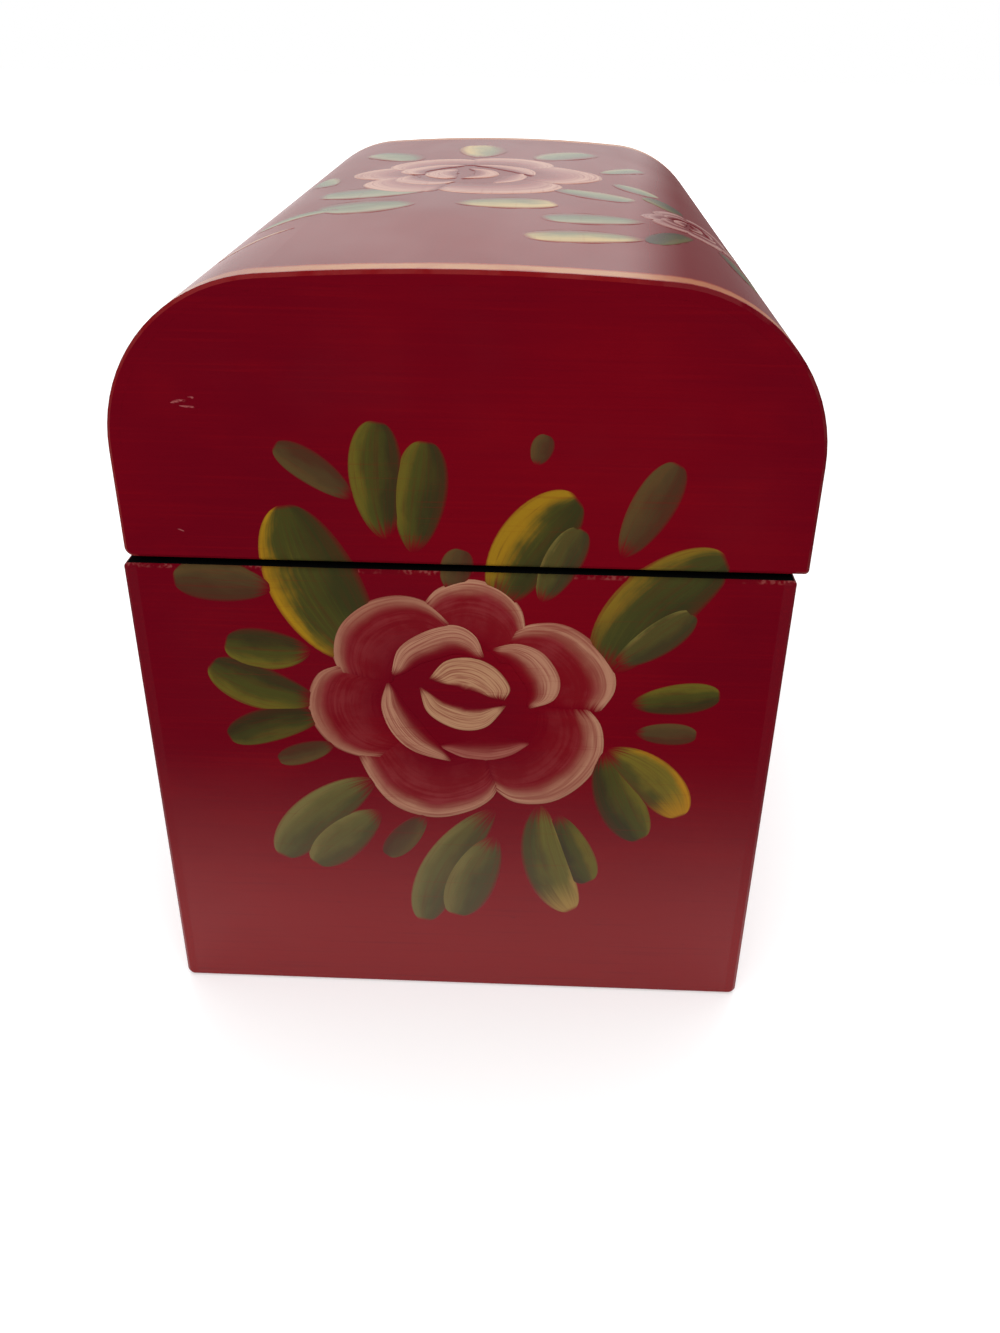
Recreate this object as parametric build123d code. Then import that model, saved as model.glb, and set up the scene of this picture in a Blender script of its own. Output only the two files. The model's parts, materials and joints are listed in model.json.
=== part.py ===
from build123d import *

import os
from math import atan2, cos, degrees, radians, sin, sqrt

# A small dome-topped wooden keepsake chest. X runs along its length, the front
# faces -Y, Z is up, and the origin is the centre of the underside. Millimetres.

# Case
BOX_LENGTH = 250.0
BOX_DEPTH = 152.0
BASE_HEIGHT = 126.0
LID_HEIGHT = 64.0
LID_EXTRA_DEPTH = 1.5
LID_FORWARD_SHIFT = 1.5
SHOULDER_RADIUS = 37.5
CROWN_RADIUS = 540.0
BOARD_THICKNESS = 9.0
SKIN_THICKNESS = 3.0
RABBET_LIP = 3.0
FLOOR_THICKNESS = 4.0
FLOOR_REBATE = 5.0
RAIL_HEIGHT = 18.0
RIM_RADIUS = 1.0
FOOT_RADIUS = 2.0
BACK_RIM_RADIUS = 2.2
END_CHAMFER = 0.8

# Lining of felt-faced card
LINING_THICKNESS = 1.5
LINING_DROP = 2.0

# Stop hinges, whose leaves lie between the two rims
HINGE_INSET = 50.0
HINGE_LENGTH = 32.0
LEAF_THICKNESS = 0.6
LEAF_REACH = 8.7
LEAF_CLEARANCE = 0.5
BARREL_RADIUS = 1.9
BARREL_STANDOFF = 0.3
KNUCKLE_COUNT = 3
KNUCKLE_CLEARANCE = 0.15
HINGE_PIN_RADIUS = 0.85
RUNNING_CLEARANCE = 0.05
STOP_REACH = 4.6
STOP_THICKNESS = 0.8
LID_OPEN_ANGLE = 100.0
STOP_SLACK_ANGLE = 1.0
HINGE_SCREW_COUNT = 2
HINGE_SCREW_PITCH = 18.0
SCREW_EDGE_DISTANCE = 2.6
SCREW_HEAD_RADIUS = 1.6
SCREW_HEAD_HEIGHT = 0.2
SCREW_SHANK_RADIUS = 0.9
SCREW_LENGTH = 9.0
PILOT_CLEARANCE = 0.05

# Rest pads on the front rim
PAD_WIDTH = 5.0
PAD_INSET = 16.0
PAD_CLEARANCE = 0.05

# Hook latch on the front
HOOK_PIVOT_X = -4.0
HOOK_PIVOT_RISE = 11.0
HOOK_REACH = 22.0
HOOK_SWING_ANGLE = 22.0
HOOK_THICKNESS = 1.5
HOOK_ARM_WIDTH = 3.8
HOOK_EYE_RADIUS = 3.4
HOOK_HEAD_RADIUS = 4.6
HOOK_TAIL_RADIUS = 2.0
HOOK_TAIL_REACH = 7.4
HOOK_CLEARANCE = 0.3
NOTCH_CLEARANCE = 0.25
RIVET_RADIUS = 1.3
RIVET_HEAD_RADIUS = 2.4
RIVET_HEAD_HEIGHT = 1.0
STUD_RADIUS = 1.2
STUD_HEAD_RADIUS = 2.3
STUD_HEAD_HEIGHT = 1.1
PLATE_THICKNESS = 0.8
PLATE_WIDTH = 21.0
PLATE_HEIGHT = 9.0
CATCH_PLATE_WIDTH = 19.0
CATCH_PLATE_HEIGHT = 8.0
TACK_RADIUS = 0.8
TACK_LENGTH = 3.6
TACK_EDGE_DISTANCE = 3.2

# Places that follow from the sizes
SEAM_GAP = 2 * LEAF_THICKNESS + LEAF_CLEARANCE
LID_RIM_Z = BASE_HEIGHT + SEAM_GAP
CROWN_Z = LID_RIM_Z + LID_HEIGHT
LID_DEPTH = BOX_DEPTH + LID_EXTRA_DEPTH
SHOULDER_CENTRE_Y = LID_DEPTH / 2 - SHOULDER_RADIUS
CROWN_CENTRE_Z = CROWN_Z - CROWN_RADIUS
SPRING_Z = CROWN_CENTRE_Z + sqrt(
    (CROWN_RADIUS - SHOULDER_RADIUS) ** 2 - SHOULDER_CENTRE_Y**2
)
SHOULDER_SWEEP = degrees(atan2(SPRING_Z - CROWN_CENTRE_Z, SHOULDER_CENTRE_Y))
INNER_LENGTH = BOX_LENGTH - 2 * BOARD_THICKNESS
INNER_DEPTH = BOX_DEPTH - 2 * BOARD_THICKNESS
LID_FRONT_Y = -LID_DEPTH / 2 - LID_FORWARD_SHIFT
LID_BACK_Y = LID_DEPTH / 2 - LID_FORWARD_SHIFT
HINGE_AXIS_Y = BOX_DEPTH / 2 + BARREL_STANDOFF + BARREL_RADIUS
HINGE_AXIS_Z = BASE_HEIGHT + SEAM_GAP / 2
HINGE_SCREW_Y = LID_BACK_Y - SKIN_THICKNESS - SCREW_EDGE_DISTANCE
HINGE_REACH = BOX_LENGTH / 2 - HINGE_INSET
HINGE_PLACES = {"left": -HINGE_REACH, "right": HINGE_REACH}

HOOK_PIVOT_Z = LID_RIM_Z + HOOK_PIVOT_RISE
HOOK_BACK_Y = LID_FRONT_Y - PLATE_THICKNESS - HOOK_CLEARANCE
HOOK_FRONT_Y = HOOK_BACK_Y - HOOK_THICKNESS
STUD_X = HOOK_PIVOT_X + HOOK_REACH * sin(radians(HOOK_SWING_ANGLE))
STUD_Z = HOOK_PIVOT_Z - HOOK_REACH * cos(radians(HOOK_SWING_ANGLE))
STUD_HEAD_Y = HOOK_FRONT_Y - HOOK_CLEARANCE


def block(x_range, y_range, z_range):
    """A box between two values on each axis."""
    sizes = [high - low for low, high in (x_range, y_range, z_range)]
    middle = [(low + high) / 2 for low, high in (x_range, y_range, z_range)]
    return Pos(*middle) * Box(*sizes)


def centred(size):
    """The range of that size about zero."""
    return (-size / 2, size / 2)


def lid_section(inset):
    """The lid's outline in the YZ plane, drawn in by inset: upright sides,
    a round shoulder at each side and a slow crown arc, all tangent."""
    half_depth = LID_DEPTH / 2 - inset
    shoulder = SHOULDER_RADIUS - inset
    right_foot = (half_depth, LID_RIM_Z)
    left_foot = (-half_depth, LID_RIM_Z)
    outline = [
        Line(right_foot, (half_depth, SPRING_Z)),
        CenterArc((SHOULDER_CENTRE_Y, SPRING_Z), shoulder, 0, SHOULDER_SWEEP),
        CenterArc(
            (0, CROWN_CENTRE_Z),
            CROWN_RADIUS - inset,
            SHOULDER_SWEEP,
            180 - 2 * SHOULDER_SWEEP,
        ),
        CenterArc(
            (-SHOULDER_CENTRE_Y, SPRING_Z),
            shoulder,
            180 - SHOULDER_SWEEP,
            SHOULDER_SWEEP,
        ),
        Line((-half_depth, SPRING_Z), left_foot),
        Line(left_foot, right_foot),
    ]
    return Pos(0, -LID_FORWARD_SHIFT, 0) * (Plane.YZ * Face(Wire(outline)))


def lid_prism(inset, x_range):
    """The lid's outline, drawn in by inset, carried along X."""
    low, high = x_range
    return Pos(low, 0, 0) * extrude(lid_section(inset), high - low, dir=(1, 0, 0))


def flat_headed(head_radius, head_height, shank_radius, length):
    """A flat-headed fastener pointing down: its head stands on Z zero."""
    head = Cylinder(head_radius, head_height, align=(Align.CENTER, Align.CENTER, Align.MIN))
    return head + round_pin(shank_radius, length)


def round_pin(radius, length, grow=0.0):
    """A plain pin that runs down from Z zero. grow widens and lengthens it all
    over, which makes its clearance hole."""
    return Cylinder(
        radius + grow, length + grow, align=(Align.CENTER, Align.CENTER, Align.MAX)
    )


SCREW_HOLE = round_pin(SCREW_SHANK_RADIUS, SCREW_LENGTH, PILOT_CLEARANCE)


def hinge_screw_places(upward):
    """Where the hinge screws seat on their leaves: heads up on the base, heads
    down on the lid."""
    seat_z = HINGE_AXIS_Z + (-1 if upward else 1) * LEAF_CLEARANCE / 2
    turn = 0 if upward else 180
    first = -HINGE_SCREW_PITCH * (HINGE_SCREW_COUNT - 1) / 2
    return [
        Pos(centre + first + HINGE_SCREW_PITCH * n, HINGE_SCREW_Y, seat_z)
        * Rot(turn, 0, 0)
        for centre in HINGE_PLACES.values()
        for n in range(HINGE_SCREW_COUNT)
    ]


def placed(shape, places):
    """Copies of a shape at several places, as a list of solids."""
    return [place * shape for place in places]


def drilled(shape, holes):
    """A shape with several holes cut from it."""
    for hole in holes:
        shape = shape - hole
    return shape


def front_facing(x, y, z):
    """A place on a front face, where local -Z points into the wood."""
    return Pos(x, y, z) * Rot(90, 0, 0)


# Latch fasteners, with the holes that they need

def tack_places(x, y, z, width):
    """The two tacks of a plate of that width, flush in its front face."""
    reach = width / 2 - TACK_EDGE_DISTANCE
    return [front_facing(x + side * reach, y, z) for side in (-1, 1)]


HOOK_TACK_PLACES = tack_places(
    HOOK_PIVOT_X, LID_FRONT_Y - PLATE_THICKNESS, HOOK_PIVOT_Z, PLATE_WIDTH
)
CATCH_TACK_PLACES = tack_places(
    STUD_X, -BOX_DEPTH / 2 - PLATE_THICKNESS, STUD_Z, CATCH_PLATE_WIDTH
)
TACK = round_pin(TACK_RADIUS, TACK_LENGTH)
TACK_HOLE = round_pin(TACK_RADIUS, TACK_LENGTH, PILOT_CLEARANCE)
LID_LATCH_HOLES = placed(TACK_HOLE, HOOK_TACK_PLACES)
BASE_LATCH_HOLES = placed(TACK_HOLE, CATCH_TACK_PLACES)


def end_edges(shape):
    """The edges that outline the two ends of the base or the lid."""
    return [
        edge
        for edge in shape.edges()
        if abs(abs(edge.center().X) - BOX_LENGTH / 2) < END_CHAMFER / 10
    ]


def base_boards():
    """Four boards with rebated corners, and the floor let in flush below."""
    outer = block(centred(BOX_LENGTH), centred(BOX_DEPTH), (0, BASE_HEIGHT))
    outer = fillet(outer.edges().filter_by(Axis.X).group_by(Axis.Z)[0], FOOT_RADIUS)
    outer = fillet(outer.edges().filter_by(Axis.X).group_by(Axis.Z)[-1], RIM_RADIUS)
    outer = chamfer(end_edges(outer), END_CHAMFER)
    cavity = block(centred(INNER_LENGTH), centred(INNER_DEPTH), (0, BASE_HEIGHT))
    floor = block(
        centred(INNER_LENGTH + 2 * FLOOR_REBATE),
        centred(INNER_DEPTH + 2 * FLOOR_REBATE),
        (0, FLOOR_THICKNESS),
    )
    walls = outer - cavity - floor
    end_depth = centred(BOX_DEPTH - 2 * RABBET_LIP)
    all_height = (0, BASE_HEIGHT)
    half, inner_half = BOX_LENGTH / 2, INNER_LENGTH / 2
    left_region = block((-half, -inner_half), end_depth, all_height)
    right_region = block((inner_half, half), end_depth, all_height)
    front_region = block(centred(BOX_LENGTH), (-BOX_DEPTH / 2, 0), all_height)
    back_region = block(centred(BOX_LENGTH), (0, BOX_DEPTH / 2), all_height)
    long_walls = walls - left_region - right_region
    return {
        "base_front_board": drilled(long_walls & front_region, BASE_LATCH_HOLES),
        "base_back_board": drilled(
            long_walls & back_region, placed(SCREW_HOLE, hinge_screw_places(True))
        ),
        "base_left_board": walls & left_region,
        "base_right_board": walls & right_region,
        "base_floor": floor,
    }


def base_lining():
    """Felt-faced card glued to the floor and up the four walls."""
    floor_top = FLOOR_THICKNESS + LINING_THICKNESS
    wall_height = (floor_top, BASE_HEIGHT - LINING_DROP)
    half_depth, half_length = INNER_DEPTH / 2, INNER_LENGTH / 2
    between = centred(INNER_DEPTH - 2 * LINING_THICKNESS)
    return {
        "floor_lining": block(
            centred(INNER_LENGTH), centred(INNER_DEPTH), (FLOOR_THICKNESS, floor_top)
        ),
        "base_front_lining": block(
            centred(INNER_LENGTH),
            (-half_depth, -half_depth + LINING_THICKNESS),
            wall_height,
        ),
        "base_back_lining": block(
            centred(INNER_LENGTH),
            (half_depth - LINING_THICKNESS, half_depth),
            wall_height,
        ),
        "base_left_lining": block(
            (-half_length, -half_length + LINING_THICKNESS), between, wall_height
        ),
        "base_right_lining": block(
            (half_length - LINING_THICKNESS, half_length), between, wall_height
        ),
    }


def eased_lid():
    """The lid's whole block with its arrises rounded."""
    lid = lid_prism(0, centred(BOX_LENGTH))
    rims = lid.edges().filter_by(Axis.X).group_by(Axis.Z)[0].sort_by(Axis.Y)
    lid = fillet(rims[-1], BACK_RIM_RADIUS)
    rims = lid.edges().filter_by(Axis.X).group_by(Axis.Z)[0].sort_by(Axis.Y)
    lid = fillet(rims[0], RIM_RADIUS)
    return chamfer(end_edges(lid), END_CHAMFER)


def lid_boards():
    """A skin bent over two domed end boards, with a rail inside each long rim."""
    outer = eased_lid()
    core = lid_prism(SKIN_THICKNESS, centred(BOX_LENGTH))
    skin = outer - core
    half, inner_half = BOX_LENGTH / 2, INNER_LENGTH / 2
    all_depth = (LID_FRONT_Y, LID_BACK_Y)
    all_height = (LID_RIM_Z, CROWN_Z)
    ends = outer & core
    rail_thickness = BOARD_THICKNESS - SKIN_THICKNESS
    rail_height = (LID_RIM_Z, LID_RIM_Z + RAIL_HEIGHT)
    front_inner = LID_FRONT_Y + SKIN_THICKNESS
    back_inner = LID_BACK_Y - SKIN_THICKNESS
    front_rail = block(
        centred(INNER_LENGTH), (front_inner, front_inner + rail_thickness), rail_height
    )
    back_rail = block(
        centred(INNER_LENGTH), (back_inner - rail_thickness, back_inner), rail_height
    )
    hinge_holes = placed(SCREW_HOLE, hinge_screw_places(False))
    return {
        "lid_skin": drilled(skin, LID_LATCH_HOLES),
        "lid_left_board": ends & block((-half, -inner_half), all_depth, all_height),
        "lid_right_board": ends & block((inner_half, half), all_depth, all_height),
        "lid_front_rail": front_rail,
        "lid_back_rail": drilled(back_rail, hinge_holes),
    }


def lid_lining(rails):
    """Felt-faced card under the barrel from rail to rail, and on both ends."""
    above_rails = block(
        centred(BOX_LENGTH),
        (LID_FRONT_Y, LID_BACK_Y),
        (LID_RIM_Z + RAIL_HEIGHT, CROWN_Z),
    )
    barrel_core = lid_prism(SKIN_THICKNESS + LINING_THICKNESS, centred(INNER_LENGTH))
    barrel = lid_prism(SKIN_THICKNESS, centred(INNER_LENGTH)) - barrel_core
    domed = barrel_core & block(
        centred(INNER_LENGTH),
        (LID_FRONT_Y, LID_BACK_Y),
        (LID_RIM_Z + LINING_DROP, CROWN_Z),
    )
    domed = drilled(domed, rails)
    end = INNER_LENGTH / 2
    all_depth, all_height = (LID_FRONT_Y, LID_BACK_Y), (LID_RIM_Z, CROWN_Z)
    left = block((-end, -end + LINING_THICKNESS), all_depth, all_height)
    right = block((end - LINING_THICKNESS, end), all_depth, all_height)
    return {
        "lid_barrel_lining": barrel & above_rails,
        "lid_left_lining": domed & left,
        "lid_right_lining": domed & right,
    }


def knuckle_range(index, gap):
    """Where one knuckle's share of the hinge starts and ends, less a gap that
    is taken off at both ends, or widened where the gap is negative."""
    pitch = HINGE_LENGTH / KNUCKLE_COUNT
    start = -HINGE_LENGTH / 2 + index * pitch
    return (start + gap / 2, start + pitch - gap / 2)


def barrel(radius, x_range):
    """A cylinder on the hinge's axis, which is the local X axis."""
    low, high = x_range
    return Pos((low + high) / 2, 0, 0) * Rot(0, 90, 0) * Cylinder(radius, high - low)


def hinge_leaf(on_base):
    """One leaf about its axis: a flat plate with rolled knuckles, and behind
    the barrel a stop flange that meets the other leaf's when the lid is open."""
    own_first, other_first = (0, 1) if on_base else (1, 0)
    whole = centred(HINGE_LENGTH)
    plate_low = -SEAM_GAP / 2 if on_base else SEAM_GAP / 2 - LEAF_THICKNESS
    leaf = block(
        whole,
        (-(HINGE_AXIS_Y - BOX_DEPTH / 2) - LEAF_REACH, 0),
        (plate_low, plate_low + LEAF_THICKNESS),
    )
    if on_base:
        leaf = leaf + block(whole, (-STOP_THICKNESS, 0), (-STOP_REACH, 0))
    else:
        lean = LID_OPEN_ANGLE - 90 + STOP_SLACK_ANGLE
        flange = block(whole, (0, STOP_REACH), (0, STOP_THICKNESS))
        leaf = leaf + Rot(lean, 0, 0) * flange
    for n in range(own_first, KNUCKLE_COUNT, 2):
        leaf = leaf + barrel(BARREL_RADIUS, knuckle_range(n, KNUCKLE_CLEARANCE))
    for n in range(other_first, KNUCKLE_COUNT, 2):
        relief = knuckle_range(n, -KNUCKLE_CLEARANCE)
        leaf = leaf - barrel(BARREL_RADIUS + KNUCKLE_CLEARANCE, relief)
    return leaf - barrel(HINGE_PIN_RADIUS + RUNNING_CLEARANCE, whole)


def hinge_pin():
    """A plain pin through all the knuckles, flush with the leaves' ends."""
    return barrel(HINGE_PIN_RADIUS, centred(HINGE_LENGTH - KNUCKLE_CLEARANCE))


def hinges():
    """Both hinges on the back rim, and the screws that hold their leaves."""
    made = {}
    base_leaf, lid_leaf, pin = hinge_leaf(True), hinge_leaf(False), hinge_pin()
    base_holes = placed(SCREW_HOLE, hinge_screw_places(True))
    lid_holes = placed(SCREW_HOLE, hinge_screw_places(False))
    for side, x in HINGE_PLACES.items():
        place = Pos(x, HINGE_AXIS_Y, HINGE_AXIS_Z)
        made[side + "_hinge_base_leaf"] = drilled(place * base_leaf, base_holes)
        made[side + "_hinge_lid_leaf"] = drilled(place * lid_leaf, lid_holes)
        made[side + "_hinge_pin"] = place * pin
    screw = flat_headed(
        SCREW_HEAD_RADIUS, SCREW_HEAD_HEIGHT, SCREW_SHANK_RADIUS, SCREW_LENGTH
    )
    made["hinge_base_screws"] = placed(screw, hinge_screw_places(True))
    made["hinge_lid_screws"] = placed(screw, hinge_screw_places(False))
    return made


def rest_pads():
    """Two square pads on the front rim, which keep the lid level on its hinges."""
    pad = block(centred(PAD_WIDTH), centred(PAD_WIDTH), (0, SEAM_GAP - PAD_CLEARANCE))
    y = -BOX_DEPTH / 2 + BOARD_THICKNESS / 2
    reach = BOX_LENGTH / 2 - PAD_INSET
    return placed(pad, [Pos(side * reach, y, BASE_HEIGHT) for side in (-1, 1)])


def plate(x, y, z, width, height, rivet_radius):
    """A stadium-shaped brass plate lying on a front face at that Y, with a
    round hole for its rivet."""
    outline = SlotOverall(width, height) - Circle(rivet_radius + PILOT_CLEARANCE)
    return front_facing(x, y, z) * extrude(outline, PLATE_THICKNESS)


def hook_outline():
    """The swing hook in its own plane, with its pivot at the origin and its
    arm hanging down local -Y. The notch opens towards +X along the arc that
    the stud follows."""
    notch_radius = STUD_RADIUS + NOTCH_CLEARANCE
    tail_y = -HOOK_REACH - HOOK_TAIL_REACH
    arm = Pos(0, -HOOK_REACH / 2) * Rectangle(HOOK_ARM_WIDTH, HOOK_REACH)
    tail = make_hull(
        (Pos(0, -HOOK_REACH) * Circle(HOOK_ARM_WIDTH / 2)).edges()
        + (Pos(-HOOK_TAIL_RADIUS / 2, tail_y) * Circle(HOOK_TAIL_RADIUS / 2)).edges()
    )
    knob = Pos(-HOOK_TAIL_RADIUS / 2, tail_y) * Circle(HOOK_TAIL_RADIUS)
    head = Pos(0, -HOOK_REACH) * Circle(HOOK_HEAD_RADIUS)
    body = Circle(HOOK_EYE_RADIUS) + arm + head + tail + knob
    ring = Circle(HOOK_REACH + notch_radius) - Circle(HOOK_REACH - notch_radius)
    beyond = 2 * HOOK_REACH
    channel = ring & (Pos(beyond / 2, -beyond / 2) * Rectangle(beyond, beyond))
    seat = Pos(0, -HOOK_REACH) * Circle(notch_radius)
    eye = Circle(RIVET_RADIUS + RUNNING_CLEARANCE)
    return body - channel - seat - eye


def latch():
    """The hook riveted to its plate, and the stud riveted to its own below."""
    hook = extrude(hook_outline(), HOOK_THICKNESS)
    rivet_y = HOOK_FRONT_Y - RUNNING_CLEARANCE
    rivet = flat_headed(
        RIVET_HEAD_RADIUS, RIVET_HEAD_HEIGHT, RIVET_RADIUS, LID_FRONT_Y - rivet_y
    )
    stud = flat_headed(
        STUD_HEAD_RADIUS, STUD_HEAD_HEIGHT, STUD_RADIUS, -BOX_DEPTH / 2 - STUD_HEAD_Y
    )
    hook_plate = plate(
        HOOK_PIVOT_X, LID_FRONT_Y, HOOK_PIVOT_Z, PLATE_WIDTH, PLATE_HEIGHT, RIVET_RADIUS
    )
    catch_plate = plate(
        STUD_X,
        -BOX_DEPTH / 2,
        STUD_Z,
        CATCH_PLATE_WIDTH,
        CATCH_PLATE_HEIGHT,
        STUD_RADIUS,
    )
    return {
        "latch_hook": front_facing(HOOK_PIVOT_X, HOOK_BACK_Y, HOOK_PIVOT_Z) * hook,
        "hook_plate": drilled(hook_plate, LID_LATCH_HOLES),
        "hook_rivet": front_facing(HOOK_PIVOT_X, rivet_y, HOOK_PIVOT_Z) * rivet,
        "hook_plate_tacks": placed(TACK, HOOK_TACK_PLACES),
        "catch_plate": drilled(catch_plate, BASE_LATCH_HOLES),
        "catch_stud": front_facing(STUD_X, STUD_HEAD_Y, STUD_Z) * stud,
        "catch_plate_tacks": placed(TACK, CATCH_TACK_PLACES),
    }


def assemble():
    """Every piece of the chest, by name."""
    lid = lid_boards()
    rails = [lid["lid_front_rail"], lid["lid_back_rail"]]
    return {
        **base_boards(),
        **base_lining(),
        **lid,
        **lid_lining(rails),
        **hinges(),
        "rest_pads": rest_pads(),
        **latch(),
    }


os.makedirs("parts", exist_ok=True)
for name, piece in assemble().items():
    solids = piece if isinstance(piece, list) else [piece]
    shape = Compound(children=[s for p in solids for s in p.solids()])
    export_step(shape, os.path.join("parts", name + ".step"))
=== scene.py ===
"""The looks of a small dome-topped wooden keepsake chest, painted red with roses.

Lengths are millimetres until a mesh is written, which is in metres. X runs along
the chest, the front faces -Y and Z is up.
"""

import json
import logging
import math
from dataclasses import dataclass, field, replace
from enum import Enum
from functools import cached_property
from typing import Callable, Iterable, Sequence

import bmesh
import bpy
import numpy as np
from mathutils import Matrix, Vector

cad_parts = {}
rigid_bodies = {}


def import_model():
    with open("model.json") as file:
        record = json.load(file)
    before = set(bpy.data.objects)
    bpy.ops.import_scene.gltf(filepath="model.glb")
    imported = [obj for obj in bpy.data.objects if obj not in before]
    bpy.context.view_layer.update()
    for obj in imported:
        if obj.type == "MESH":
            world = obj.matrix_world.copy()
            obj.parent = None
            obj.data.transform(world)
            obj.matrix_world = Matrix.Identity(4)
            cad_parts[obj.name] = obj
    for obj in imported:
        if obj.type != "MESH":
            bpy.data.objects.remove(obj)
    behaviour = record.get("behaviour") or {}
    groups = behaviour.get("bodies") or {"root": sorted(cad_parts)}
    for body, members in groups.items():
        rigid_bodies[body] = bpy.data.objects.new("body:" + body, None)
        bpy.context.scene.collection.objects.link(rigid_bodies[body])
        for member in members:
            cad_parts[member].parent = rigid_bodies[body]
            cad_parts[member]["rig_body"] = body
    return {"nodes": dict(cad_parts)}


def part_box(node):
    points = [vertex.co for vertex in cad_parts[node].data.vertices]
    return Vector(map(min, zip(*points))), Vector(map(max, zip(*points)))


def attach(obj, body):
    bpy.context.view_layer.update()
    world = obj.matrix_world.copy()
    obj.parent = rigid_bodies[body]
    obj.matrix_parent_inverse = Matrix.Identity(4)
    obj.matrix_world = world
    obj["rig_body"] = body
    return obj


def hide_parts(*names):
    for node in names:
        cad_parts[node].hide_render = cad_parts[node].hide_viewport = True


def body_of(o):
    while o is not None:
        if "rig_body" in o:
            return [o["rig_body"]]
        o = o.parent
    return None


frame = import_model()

for startup_name in ("Cube", "Light", "Camera"):
    if startup_name in bpy.data.objects:
        bpy.data.objects.remove(bpy.data.objects[startup_name])

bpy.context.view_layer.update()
METRE = 0.001
LOG = logging.getLogger("chest")
Point = tuple[float, float]
Place = tuple[float, float, float]
Colour = tuple[float, float, float]
Socket = bpy.types.NodeSocket
Material = bpy.types.Material
Piece = bpy.types.Object


def span(node: str, axis: int) -> tuple[float, float]:
    """The lowest and highest millimetre of a carried-over node along one axis."""
    low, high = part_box(node)
    return low[axis] / METRE, high[axis] / METRE


# The chest's main places, read from the solids

HALF_LENGTH = span("lid_skin", 0)[1]
HALF_DEPTH = span("base_back_board", 1)[1]
RIM_TOP = span("base_left_board", 2)[1]
LID_RIM, CROWN = span("lid_skin", 2)
LID_FRONT, LID_BACK = span("lid_skin", 1)
SEAM = (RIM_TOP + LID_RIM) / 2
SHOULDER_RADIUS = 37.5
CROWN_RADIUS = 540.0
BOARD_THICKNESS = 9.0
ARRIS = 0.8  # the bevel of an end board along the seam
LEAF_GAP = 0.5  # between the two leaves of a shut hinge


# Shader maths

class Signal:
    """A number that varies over a surface, held as a node socket."""

    def __init__(self, graph: "Graph", socket: Socket) -> None:
        """Wraps a socket of a graph."""
        self.graph = graph
        self.socket = socket

    def _math(self, operation: str, *values: "Signal | float") -> "Signal":
        """The result of one Math node on these values in their order."""
        inputs = dict(enumerate(values))
        return self.graph.value("ShaderNodeMath", {"operation": operation}, inputs)

    def __add__(self, other: "Signal | float") -> "Signal":
        """Sum."""
        return self._math("ADD", self, other)

    def __radd__(self, other: float) -> "Signal":
        """Sum, reflected."""
        return self._math("ADD", other, self)

    def __sub__(self, other: "Signal | float") -> "Signal":
        """Difference."""
        return self._math("SUBTRACT", self, other)

    def __rsub__(self, other: float) -> "Signal":
        """Difference, reflected."""
        return self._math("SUBTRACT", other, self)

    def __mul__(self, other: "Signal | float") -> "Signal":
        """Product."""
        return self._math("MULTIPLY", self, other)

    def __rmul__(self, other: float) -> "Signal":
        """Product, reflected."""
        return self._math("MULTIPLY", other, self)

    def __abs__(self) -> "Signal":
        """Size without sign."""
        return self._math("ABSOLUTE", self)

    def most(self, other: "Signal | float") -> "Signal":
        """The larger of two."""
        return self._math("MAXIMUM", self, other)

    def rise(self, start: float, end: float) -> "Signal":
        """A smooth step.

        Args:
            start: Where the step is 0.
            end: Where it is 1, above or below start.

        Returns:
            The step, from 0 to 1.
        """
        settings = {"interpolation_type": "SMOOTHSTEP", "clamp": True}
        low, high = min(start, end), max(start, end)
        turned = start > end
        inputs = {
            "Value": self,
            "From Min": low,
            "From Max": high,
            "To Min": 1.0 if turned else 0.0,
            "To Max": 0.0 if turned else 1.0,
        }
        return self.graph.value("ShaderNodeMapRange", settings, inputs)


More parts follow.
